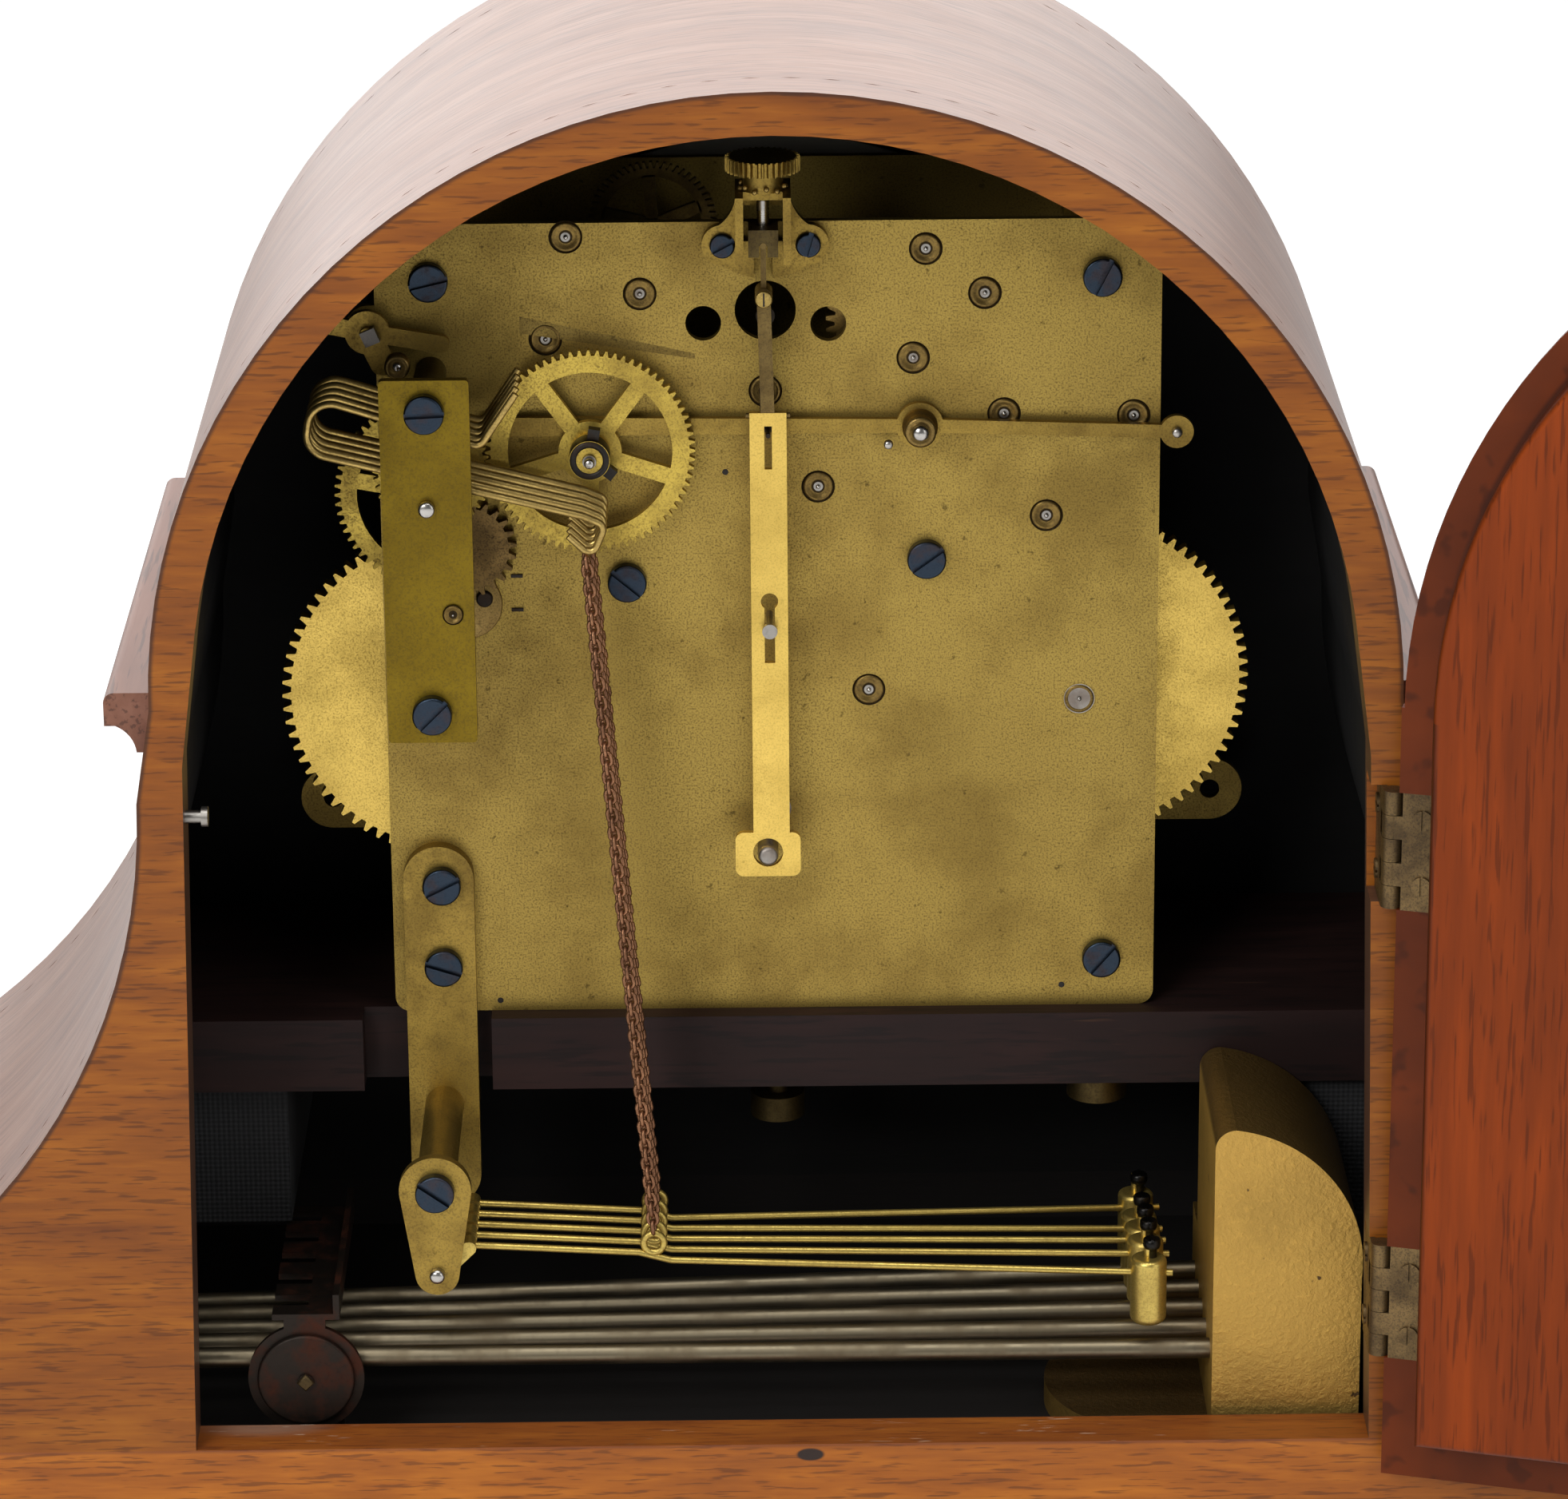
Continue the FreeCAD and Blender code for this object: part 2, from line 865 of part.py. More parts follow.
outline = case_outline(0, front_y, back_y)
back_board = case_outline(0, inner_back_y, back_y)
back_board = back_board.cut(back_opening(inner_back_y - overrun, back_y + overrun))
front_board = case_outline(0, front_y, inner_front_y)
dial_hole = peg(0, arch_height, dial_hole_radius, front_y - overrun, inner_front_y + overrun)
front_board = front_board.cut(dial_hole)
shell = case_outline(0, inner_front_y, inner_back_y)
hollow = case_outline(shell_thickness, inner_front_y - overrun, inner_back_y + overrun)
low_x = foot_x - shell_thickness
hollow = hollow.fuse(block(-low_x, low_x, inner_front_y - overrun, inner_back_y + overrun,
                           drop(base_top_drop) - overrun, drop(base_top_drop) + toe_round))
shell = shell.cut(hollow)


# Impost mouldings
def impost(hand):
    inner = arch_radius - impost_out
    outer = arch_radius + impost_out
    y0 = front_y
    top = rise(impost_rise)
    step_z = drop(impost_lip)
    foot = drop(impost_drop)
    cove_x = arch_radius + waist_out
    a = at(hand * inner, y0, top)
    b = at(hand * (outer - base_step), y0, top)
    round_in = base_step * (1 - half_way)
    b_mid = at(hand * (outer - round_in), y0, top - round_in)
    c = at(hand * outer, y0, top - base_step)
    d = at(hand * outer, y0, step_z)
    e = at(hand * (outer - base_step), y0, step_z)
    half_x = (outer - base_step + cove_x) / 2
    half_z = (step_z + foot) / 2
    bow = (step_z - foot) / 4
    e_mid = at(hand * (half_x - bow / 2), y0, half_z + bow / 2)
    f = at(hand * cove_x, y0, foot)
    g = at(hand * inner, y0, foot)
    edges = [line(a, b), arc(b, b_mid, c), line(c, d), line(d, e), arc(e, e_mid, f), line(f, g), line(g, a)]
    return profile(edges, y0, back_y - impost_set_back)


imposts = [single(impost(1).cut(outline)), single(impost(-1).cut(outline))]

# Seat board, cleats
seat_low_drop = seat_top_drop + seat_thickness
seat = block(-seat_half, seat_half, seat_front_y, seat_back_y, drop(seat_low_drop), drop(seat_top_drop))
seat = seat.cut(block(hammer_x - seat_notch_before, hammer_x + seat_notch_after,
                      seat_back_y - seat_notch_depth, seat_back_y + overrun,
                      drop(seat_low_drop) - overrun, drop(seat_top_drop) + overrun))
cleats = []
for hand in (1, -1):
    cleat = block(hand * cleat_inner, hand * cleat_outer, inner_front_y, cleat_back_y,
                  drop(seat_low_drop + cleat_height), drop(seat_low_drop))
    cleats.append(cleat)

lower_pillars = [plate_place(pillar_places_share[4]), plate_place(pillar_places_share[5])]
seat_bolts = []
bolt_cores = []
for place in lower_pillars:
    core = peg_z(place[0], 0, seat_bolt_radius, drop(seat_low_drop) - seat_nut_height, place[1])
    bolt_cores.append(core)
    nut = peg_z(place[0], 0, seat_nut_radius, drop(seat_low_drop) - seat_nut_height, drop(seat_low_drop))
    seat_bolts.append(core)
    seat_bolts.append(nut.cut(core))
middle_core = fuse([
    peg_z(0, middle_bolt_y, seat_bolt_radius, drop(seat_low_drop + middle_bolt_below), drop(seat_top_drop)),
    peg_z(0, middle_bolt_y, middle_bolt_head_radius, drop(seat_low_drop + middle_bolt_below),
          drop(seat_low_drop + middle_bolt_below) + middle_bolt_head),
])
bolt_cores.append(middle_core)
seat_bolts.append(middle_core)
for core in bolt_cores:
    seat = seat.cut(core)

# Latch pin in the jamb
jamb_x = opening_waist + (opening_foot - opening_waist) * (latch_drop - opening_waist_drop) / (
    base_top_drop - opening_waist_drop)
latch = fuse([
    peg_x(latch_y, drop(latch_drop), latch_radius, jamb_x - latch_reach, jamb_x + latch_bury),
    peg_x(latch_y, drop(latch_drop), latch_head_radius, jamb_x - latch_reach - latch_head_length,
          jamb_x - latch_reach),
])
back_board = back_board.cut(latch)


# Hinges: each has three fixed and two moving knuckles on one pin
def hinge_spans(centre_z, moving):
    step = hinge_length / knuckle_count
    start = centre_z - hinge_length / 2
    spans = []
    for index in range(knuckle_count):
        if (index % 2 == 1) == moving:
            spans.append((start + index * step, start + (index + 1) * step))
    return spans


hinge_centres = [drop(hinge_top_centre_drop), drop(hinge_low_centre_drop)]
case_hinges = []
door_hinges = []
hinge_cuts = []
lip_cuts = []
door_screw_cuts = []
leaf_out = pin_x + knuckle_radius
for centre_z in hinge_centres:
    z0 = centre_z - hinge_length / 2
    z1 = centre_z + hinge_length / 2
    pin = peg_z(pin_x, pin_y, hinge_pin_radius, z0, z1)
    leaf = block(leaf_out - leaf_thickness, leaf_out, pin_y - knuckle_radius - leaf_width, pin_y, z0, z1)
    for span in hinge_spans(centre_z, True):
        leaf = leaf.cut(peg_z(pin_x, pin_y, knuckle_radius + leaf_sweep_gap,
                              span[0] - running_gap, span[1] + running_gap))
    pieces = [leaf]
    for span in hinge_spans(centre_z, False):
        pieces.append(peg_z(pin_x, pin_y, knuckle_radius, span[0] + running_gap, span[1] - running_gap))
    fixed = fuse(pieces).cut(pin)
    screw_y_place = pin_y - knuckle_radius - leaf_width * hinge_screw_share
    for side in (1, -1):
        z = centre_z + side * hinge_screw_spread
        shank = peg_x(screw_y_place, z, hinge_screw_shank, leaf_out - hinge_screw_length, leaf_out)
        head = peg_x(screw_y_place, z, hinge_screw_head, leaf_out - leaf_thickness / 2,
                     leaf_out + hinge_screw_proud)
        screw = fuse([shank, head])
        groove = block(leaf_out + hinge_screw_proud - slot_depth, leaf_out + overrun,
                       screw_y_place - hinge_screw_head - overrun, screw_y_place + hinge_screw_head + overrun,
                       z - slot_width / 2, z + slot_width / 2)
        fixed = fixed.cut(screw)
        case_hinges.append(screw.cut(groove))
        hinge_cuts.append(screw)
    case_hinges.append(fixed)
    case_hinges.append(pin)
    hinge_cuts.append(block(leaf_out - leaf_thickness, pin_x + door_half, pin_y - knuckle_radius - leaf_width,
                            back_y + overrun, z0, z1).common(
        block(leaf_out - leaf_thickness, leaf_out + opening_foot - opening_waist,
              pin_y - knuckle_radius - leaf_width, back_y + overrun, z0, z1)))
    wing = block(leaf_out + running_gap * 2, leaf_out + door_leaf_width, door_inner_y,
                 door_inner_y + leaf_thickness, z0, z1)
    lip_cuts.append(wing)
    notch = block(-door_half - overrun, leaf_out + curve_gap, inner_back_y,
                  back_y + door_lip + overrun, z0, z1)
    lip_cuts.append(notch)
    moving = [wing]
    pin_hole = peg_z(pin_x, pin_y, hinge_pin_radius + running_gap, z0 - overrun, z1 + overrun)
    for span in hinge_spans(centre_z, True):
        moving.append(peg_z(pin_x, pin_y, knuckle_radius, span[0] + running_gap, span[1] - running_gap))
        moving.append(block(pin_x, leaf_out + leaf_thickness, door_inner_y, door_inner_y + leaf_thickness,
                            span[0] + running_gap, span[1] - running_gap))
    swung = fuse(moving).cut(pin_hole)
    screw_x = leaf_out + door_leaf_width * hinge_screw_share
    for side in (1, -1):
        z = centre_z + side * hinge_screw_spread
        length = door_lip - leaf_thickness
        screw = fuse([
            peg(screw_x, z, hinge_screw_shank, door_inner_y, door_inner_y + length),
            peg(screw_x, z, hinge_screw_head, door_inner_y - hinge_screw_proud,
                door_inner_y + leaf_thickness / 2),
        ])
        swung = swung.cut(screw)
        door_screw_cuts.append(screw)
        groove = block(screw_x - slot_width / 2, screw_x + slot_width / 2,
                       door_inner_y - hinge_screw_proud - overrun,
                       door_inner_y - hinge_screw_proud + slot_depth,
                       z - hinge_screw_head - overrun, z + hinge_screw_head + overrun)
        door_hinges.append(screw.cut(groove))
    door_hinges.append(swung)
for cut in hinge_cuts:
    back_board = back_board.cut(cut)

# Back door, made closed and then swung to its resting angle
lip = arched(door_half, door_half - door_arch_inset, drop(door_foot_drop), arch_height,
             door_inner_y, door_inner_y + door_lip)
lip = softened(lip, door_inner_y + door_lip, door_round)
panel = arched(door_panel_half, door_panel_half + door_arch_inset, drop(door_panel_foot_drop), arch_height,
               door_inner_y - door_panel_depth, door_inner_y)
panel = softened(panel, door_inner_y - door_panel_depth, door_panel_round)
door = lip.fuse(panel)
for cut in lip_cuts + door_screw_cuts:
    door = door.cut(cut)
door = single(door)
door_shapes = [door]
for shape in door_shapes + door_hinges:
    shape.rotate(V(pin_x, pin_y, 0), V(0, 0, 1), door_rest_angle)

# Movement plates
plate_left = plate_centre_x - plate_width / 2
plate_right = plate_centre_x + plate_width / 2
plate_low = plate_mid_z - plate_height / 2
plate_top = plate_mid_z + plate_height / 2
back_plate = rounded(plate_left, plate_right, plate_low, plate_top, plate_corner,
                     plate_front_y, plate_back_y)
front_plate = rounded(plate_left, plate_right, plate_low, plate_top, plate_corner,
                      front_plate_front_y, front_plate_back_y)
sinks = [peg(p[0], p[1], sink_radius, plate_back_y - sink_depth, plate_back_y + overrun)
         for p in [plate_place(s) for s in sink_places_share]]
holes = [peg(p[0], p[1], hole_radius, plate_front_y - overrun, plate_back_y + overrun)
         for p in [plate_place(s) for s in hole_places_share]]
holes.append(peg(crutch_x, rise(crutch_rise), crutch_hole_radius, plate_front_y - overrun,
                 plate_back_y + overrun))

# Arbors with pivots through both plates
arbors = []
for shares in sink_places_share:
    place = plate_place(shares)
    arbor = peg(place[0], place[1], pivot_radius, plate_front_y - plate_thickness, plate_back_y)
    arbors.append(arbor)
chime_z = drop(chime_drop)
strike_z = drop(strike_drop)
time_z = drop(time_drop)
second_z = rise(second_rise)
for place in ((chime_x, chime_z), (strike_x, strike_z), (time_x, time_z)):
    shaft = peg(place[0], place[1], arbor_radius, front_plate_front_y, plate_back_y)
    half = winding_square / 2
    square = block(place[0] - half, place[0] + half, front_plate_front_y - winding_reach,
                   front_plate_front_y + plate_thickness, place[1] - half, place[1] + half)
    arbors.append(fuse([shaft, square]))
second_shaft = peg(second_x, second_z, second_arbor_radius, front_plate_front_y, plate_back_y)
arbors.append(second_shaft)
spoked_z = rise(spoked_rise)
spoked_shaft = peg(spoked_x, spoked_z, spoked_hub_bore, front_plate_front_y,
                   spoked_hub_back_y + leaf_thickness)
arbors.append(spoked_shaft)
idler_z = rise(idler_rise)
idler_post = peg(idler_x, idler_z, idler_stud, plate_front_y,
                 idler_front_y + idler_thickness + leaf_thickness)
arbors.append(idler_post)
lever_z = rise(lever_hub_rise)
lever_post = peg(lever_hub_x, lever_z, lever_stud_radius, plate_front_y,
                 lever_front_y + lever_thickness * 2)
arbors.append(lever_post)
arm_z = rise(arm_hub_rise)
stud_x = strip_x
stud = fuse([
    peg(stud_x, drop(stud_drop), stud_radius, plate_front_y, hang_y + strip_thickness + stud_gap),
    peg(stud_x, drop(stud_drop), stud_head_radius, hang_y + strip_thickness + stud_gap,
        hang_y + strip_thickness + stud_gap + stud_head_length),
])
arbors.append(stud)
foot_stud = peg(swing_foot_x, drop(foot_hole_drop), foot_stud_radius, plate_front_y,
                hang_y + strip_thickness / 2 + foot_stud_proud)
dome = [e for e in foot_stud.Edges if all(v.Y > hang_y for v in e.Vertexes)]
foot_stud = foot_stud.makeFillet(foot_stud_radius / 2, dome)
arbors.append(foot_stud)
hammer_z = drop(hammer_drop)
hammer_rod = peg(hammer_x, hammer_z, hammer_arbor_radius, plate_back_y,
                 link_front_y + link_thickness + slot_depth)
arbors.append(hammer_rod)
for cut in sinks + holes + arbors:
    back_plate = back_plate.cut(cut)
for cut in arbors:
    front_plate = front_plate.cut(cut)
cannon_hole = peg(0, arch_height, cannon_radius + free_gap, front_plate_front_y - overrun,
                  front_plate_back_y + overrun)
front_plate = front_plate.cut(cannon_hole)

pillars = []
screws = []
for index, shares in enumerate(pillar_places_share):
    place = plate_place(shares)
    body = fuse([
        peg(place[0], place[1], pillar_radius, front_plate_back_y, plate_front_y),
        peg(place[0], place[1], pillar_collar, front_plate_back_y, front_plate_back_y + pillar_collar_length),
        peg(place[0], place[1], pillar_collar, plate_front_y - pillar_collar_length, plate_front_y),
    ])
    seat_y = plate_back_y
    if index == len(pillar_places_share) - 1:
        seat_y = plate_back_y + hammer_strip_thickness
    screw = screw_y(place[0], place[1], plate_screw_head, plate_screw_head_height, plate_screw_shank,
                    plate_screw_length + seat_y - plate_back_y, seat_y, pillar_screw_turn_shares[index])
    body = body.cut(screw)
    back_plate = back_plate.cut(screw)
    screws.append(screw)
    for core in bolt_cores:
        body = body.cut(core)
    pillars.append(single(body))

# Bridge over the drum
drum_z = rise(drum_rise)
bridge_front_y = bridge_back_y - plate_thickness
bridge_plate = rounded(bridge_left, bridge_right, drop(bridge_foot_drop), rise(bridge_top_rise),
                       bridge_corner, bridge_front_y, bridge_back_y)
lifter_z = rise(lifter_rise)
bridge = fuse([
    bridge_plate,
    peg(bridge_post_x, rise(bridge_post_top_rise), bridge_post_radius, plate_back_y, bridge_front_y),
    peg(bridge_post_x, drop(bridge_post_low_drop), bridge_post_radius, plate_back_y, bridge_front_y),
    peg(lifter_x, lifter_z, lifter_arbor_radius, lifter_arbor_front_y, bridge_front_y),
])
bridge = bridge.cut(peg(drum_x, drum_z, drum_arbor_radius + running_gap, bridge_front_y - overrun,
                        bridge_back_y + overrun))
for index, z in enumerate([rise(bridge_post_top_rise), drop(bridge_post_low_drop)]):
    screw = screw_y(bridge_post_x, z, plate_screw_head, plate_screw_head_height, plate_screw_shank,
                    plate_screw_length, bridge_back_y, bridge_screw_turn_shares[index])
    bridge = bridge.cut(screw)
    screws.append(screw)

# Suspension bracket, nut and block
ear_z = rise(bracket_ear_rise)
ear_back_y = plate_back_y + bracket_ear_thickness
ears = link_bar((bracket_ear_left, ear_z), (bracket_ear_right, ear_z), bracket_ear_radius, bracket_ear_radius,
                plate_back_y, ear_back_y)
belly_left = at(bracket_ear_left, plate_back_y, ear_z - bracket_ear_radius)
belly_right = at(bracket_ear_right, plate_back_y, ear_z - bracket_ear_radius)
belly_low = at(hang_x, plate_back_y, rise(bracket_belly_rise))
belly = profile([line(belly_left, belly_right), arc(belly_right, belly_low, belly_left)],
                plate_back_y, ear_back_y)
shoulder_z = ear_z + bracket_ear_radius * half_way
neck = []
for ear_x in (bracket_ear_left, bracket_ear_right):
    hand = math.copysign(1, ear_x - hang_x)
    out = at(ear_x + hand * bracket_ear_radius * half_way, plate_back_y, shoulder_z)
    high = at(hang_x + hand * bracket_half, plate_back_y, rise(bracket_neck_rise))
    hollow_point = at((out.x + high.x * 2) / 3, plate_back_y, (out.z + high.z) / 2 - bracket_wall / 2)
    inner = at(hang_x, plate_back_y, shoulder_z)
    inner_high = at(hang_x, plate_back_y, rise(bracket_neck_rise))
    neck.append(profile([line(inner, out), arc(out, hollow_point, high), line(high, inner_high),
                         line(inner_high, inner)], plate_back_y, ear_back_y))
left_wall = block(hang_x - bracket_half, hang_x - bracket_half + bracket_wall, plate_back_y, bracket_back_y,
                  rise(bracket_foot_rise), rise(bracket_top_rise))
right_wall = block(hang_x + bracket_half - bracket_wall, hang_x + bracket_half, plate_back_y, bracket_back_y,
                   rise(bracket_foot_rise), rise(bracket_top_rise))
lid = block(hang_x - bracket_half, hang_x + bracket_half, plate_back_y, bracket_lid_back_y,
            rise(bracket_top_rise) - bracket_lid, rise(bracket_top_rise))
bracket = fuse([ears, belly, left_wall, right_wall, lid] + neck)
recess_half = bracket_half - bracket_wall
bracket = bracket.cut(block(hang_x - recess_half, hang_x + recess_half,
                            plate_back_y - overrun, ear_back_y + overrun,
                            rise(recess_foot_rise), rise(recess_top_rise)))
bracket = bracket.cut(block(hang_x - slit_half, hang_x + slit_half,
                            plate_back_y - overrun, ear_back_y + overrun,
                            rise(bracket_belly_rise) - overrun, rise(recess_top_rise)))
bracket = bracket.cut(peg_z(hang_x, hang_y, nut_screw + running_gap, rise(bracket_foot_rise),
                            rise(bracket_top_rise) + overrun))
bracket = bracket.cut(peg(crutch_x, rise(crutch_rise), crutch_hole_radius, front_y, back_y))
for index, x in enumerate([bracket_ear_left, bracket_ear_right]):
    screw = screw_y(x, ear_z, bracket_screw_head, plate_screw_head_height / 2, bracket_screw_shank,
                    plate_thickness + bracket_ear_thickness, ear_back_y, bracket_screw_turn_shares[index])
    bracket = bracket.cut(screw)
    back_plate = back_plate.cut(screw)
    screws.append(screw)
screw_foot = rise(hang_rise + hang_screw_lift)
nut_rim = gear(0, 0, nut_teeth, nut_radius, 0, nut_height, 0)
nut_rim.rotate(V(0, 0, 0), V(1, 0, 0), quarter_turn)
nut_rim.translate(V(hang_x, hang_y, rise(nut_rise)))
rate_nut = fuse([
    nut_rim,
    peg_z(hang_x, hang_y, nut_collar, rise(bracket_top_rise) + running_gap, rise(nut_rise)),
    peg_z(hang_x, hang_y, nut_screw, screw_foot, rise(bracket_top_rise) + nut_height),
])
block_wide = bracket_half - bracket_wall - block_gap
hanger = block(hang_x - block_wide, hang_x + block_wide, hang_y - block_depth / 2, hang_y + block_depth / 2,
               rise(block_foot_rise), rise(block_foot_rise) + block_height)
hanger = hanger.cut(peg_z(hang_x, hang_y, nut_screw + running_gap, screw_foot - hang_screw_spare,
                          rise(bracket_top_rise)))
hang_z = rise(hang_rise)
slot_half = spring_thickness + free_gap
spring_slot = block(hang_x - slot_half, hang_x + slot_half, hang_y - block_depth, hang_y + block_depth,
                    rise(block_foot_rise) - overrun, hang_z)
hanger = hanger.cut(spring_slot)
hanger = hanger.cut(peg(hang_x, hang_z, hang_pin_radius + running_gap,
                        hang_y - block_depth, hang_y + block_depth))

# Pendulum: spring, ferrule, rod and strip swing together
ferrule_z = rise(ferrule_rise)
spring = block(hang_x - spring_thickness, hang_x + spring_thickness,
               hang_y - spring_half, hang_y + spring_half, ferrule_z, hang_z)
hang_pin = peg(hang_x, hang_z, hang_pin_radius, hang_y - block_depth / 2, hang_y + block_depth / 2)
ferrule = peg(hang_x, ferrule_z, ferrule_radius, hang_y - ferrule_half, hang_y + ferrule_half)
bar_top = ferrule_z - ferrule_radius / 2
bar_low = rise(rod_foot_rise)
hang_bar = slab([(hang_x - bar_half, bar_top), (hang_x + bar_half, bar_top), (strip_x + bar_half, bar_low),
                 (strip_x - bar_half, bar_low)], hang_y - bar_thickness / 2, hang_y + bar_thickness / 2)
cross_pin = peg_x(hang_y, rise(cross_rise), cross_radius, strip_x - cross_half, strip_x + cross_half)
suspension_rod = fuse([hang_pin, spring, ferrule, hang_bar, cross_pin])
strip_front_y = hang_y - strip_thickness / 2
strip_back_y = hang_y + strip_thickness / 2
strip = fuse([
    block(strip_x - strip_half, strip_x + strip_half, strip_front_y, strip_back_y,
          drop(strip_foot_drop), rise(strip_top_rise)),
    rounded(swing_foot_x - foot_half, swing_foot_x + foot_half, drop(foot_low_drop), drop(foot_top_drop),
            foot_round, strip_front_y, strip_back_y),
])
strip_cuts = [
    block(strip_x - strip_slot_half, strip_x + strip_slot_half, strip_front_y - overrun,
          strip_back_y + overrun, rise(strip_slot_foot_rise), rise(strip_slot_top_rise)),
    peg(strip_x, rise(keyhole_rise), keyhole_radius, strip_front_y - overrun, strip_back_y + overrun),
    block(strip_x - keyhole_slot_half, strip_x + keyhole_slot_half, strip_front_y - overrun,
          strip_back_y + overrun, drop(keyhole_foot_drop), rise(keyhole_rise)),
    peg(swing_foot_x, drop(foot_hole_drop), foot_hole_radius, strip_front_y - overrun,
        strip_back_y + overrun),
    suspension_rod,
]
for cut in strip_cuts:
    strip = strip.cut(cut)
strip = single(strip)

# Crutch: arbor, arm and the pin in the strip's top slot
crutch_z = rise(crutch_rise)
crutch_back_y = crutch_front_y + crutch_thickness
crutch = fuse([
    peg(crutch_x, crutch_z, crutch_arbor_radius, front_plate_front_y, crutch_back_y),
    peg(crutch_x, crutch_z, crutch_hub, crutch_front_y, crutch_back_y),
    block(crutch_x - crutch_half, crutch_x + crutch_half, crutch_front_y, crutch_back_y,
          rise(crutch_foot_rise), crutch_z),
    peg(strip_x, rise(crutch_pin_rise), crutch_pin_radius, crutch_front_y, strip_back_y + crutch_pin_radius),
])
front_plate = front_plate.cut(peg(crutch_x, crutch_z, crutch_arbor_radius + running_gap,
                                  front_plate_front_y - overrun, front_plate_back_y + overrun))

# Hammer bracket and link plate
strip_screw_x = plate_place(pillar_places_share[5])[0]
strip_y = plate_back_y + hammer_strip_thickness
upper_end = (hammer_x, drop(hammer_strip_top_drop + hammer_strip_half))
lower_end = (hammer_x, drop(hammer_strip_low_drop - hammer_strip_half))
hammer_bracket = fuse([
    link_bar(upper_end, lower_end, hammer_strip_half, hammer_strip_half, plate_back_y, strip_y),
    peg(hammer_x, drop(post_drop), post_radius, strip_y, link_front_y),
])
top_screw = screw_y(strip_screw_x, drop(strip_screw_top_drop), plate_screw_head, plate_screw_head_height,
                    plate_screw_shank, plate_thickness + hammer_strip_thickness, strip_y,
                    hammer_screw_turn_shares[0])
post_screw = screw_y(hammer_x, drop(post_drop), plate_screw_head, plate_screw_head_height, plate_screw_shank,
                     plate_screw_length, link_front_y + link_thickness, hammer_screw_turn_shares[1])
link_plate = link_bar((hammer_x, drop(post_drop)), (hammer_x, hammer_z), link_top_radius, link_low_radius,
                      link_front_y, link_front_y + link_thickness)
screws += [top_screw, post_screw]
for cut in screws + [hammer_rod]:
    hammer_bracket = hammer_bracket.cut(cut)
link_plate = link_plate.cut(post_screw).cut(hammer_rod)
back_plate = back_plate.cut(top_screw)

# Great wheels: the teeth run round the outer edge, the barrel stands in front
mesh_span = math.hypot(second_x - chime_x, second_z - chime_z)
chime_radius = mesh_span * chime_teeth / (chime_teeth + second_teeth)
second_pinion_radius = mesh_span * second_teeth / (chime_teeth + second_teeth)
great_front_y = great_back_y - great_thickness


def great_wheel(x, z, teeth, radius, back, barrel, turn):
    front = back - great_thickness
    wheel = gear(x, z, teeth, radius, front, back, turn)
    drum = peg(x, z, barrel_radius, front - barrel, front)
    drum = drum.fuse(peg(x, z, arbor_radius * 2, front - barrel - great_thickness, back + great_thickness))
    whole = wheel.fuse(drum)
    return single(whole.cut(peg(x, z, arbor_radius + running_gap, front_y, back_y)))


chime_great = great_wheel(chime_x, chime_z, chime_teeth, chime_radius, great_back_y, barrel_length, 0)
strike_great = great_wheel(strike_x, strike_z, strike_teeth, strike_radius, great_back_y, barrel_length, 0)
time_great = great_wheel(time_x, time_z, time_teeth, time_radius, time_back_y, time_barrel_length, 0)
pinion_turn = meshing(0, chime_x, chime_z, chime_teeth, second_x, second_z, second_teeth)
second_pinion = gear(second_x, second_z, second_teeth, second_pinion_radius, great_front_y, great_back_y,
                     pinion_turn)
second_rim = gear(second_x, second_z, second_rim_teeth, second_radius, second_back_y - second_thickness,
                  second_back_y, 0)
second_rim = crossed(second_rim, second_x, second_z, second_radius * spoked_rim_share, spoked_collar,
                     spoke_width,
                     spoke_count, second_spoke_turn_share, second_back_y - second_thickness, second_back_y)
second_tube = peg(second_x, second_z, second_tube_radius, great_back_y, second_back_y)
second_wheel = fuse([second_pinion, second_rim, second_tube])
second_wheel = single(second_wheel.cut(peg(second_x, second_z, second_arbor_radius + running_gap,
                                           front_y, back_y)))

# Spoked wheel, drum with its two gears and cams, idler
spoked_span = math.hypot(drum_x - spoked_x, drum_z - spoked_z)
spoked_radius = spoked_span * spoked_teeth / (spoked_teeth + drum_teeth)
drum_radius = spoked_span * drum_teeth / (spoked_teeth + drum_teeth)
idler_span = math.hypot(idler_x - drum_x, idler_z - drum_z)
drum_small_radius = idler_span * drum_small_teeth / (drum_small_teeth + idler_teeth)
idler_radius = idler_span * idler_teeth / (drum_small_teeth + idler_teeth)
spoked_back_y = spoked_front_y + spoked_thickness
spoked = gear(spoked_x, spoked_z, spoked_teeth, spoked_radius, spoked_front_y, spoked_back_y, 0)
spoked = crossed(spoked, spoked_x, spoked_z, spoked_radius * spoked_rim_share, spoked_hub, spoke_width,
                 spoke_count, spoke_turn_share, spoked_front_y, spoked_back_y)
spoked = fuse([spoked, peg(spoked_x, spoked_z, spoked_collar, spoked_front_y, spoked_hub_back_y)])
spoked = single(spoked.cut(peg(spoked_x, spoked_z, spoked_hub_bore + running_gap, front_y, back_y)))
drum_turn = meshing(0, spoked_x, spoked_z, spoked_teeth, drum_x, drum_z, drum_teeth)
drum_pieces = [
    gear(drum_x, drum_z, drum_teeth, drum_radius, spoked_front_y, spoked_back_y, drum_turn),
    gear(drum_x, drum_z, drum_small_teeth, drum_small_radius, idler_front_y,
         idler_front_y + idler_thickness, 0),
    peg(drum_x, drum_z, cam_core, idler_front_y, bridge_front_y - free_gap),
    peg(drum_x, drum_z, drum_arbor_radius, bridge_front_y - free_gap, bridge_back_y + drum_arbor_reach),
]
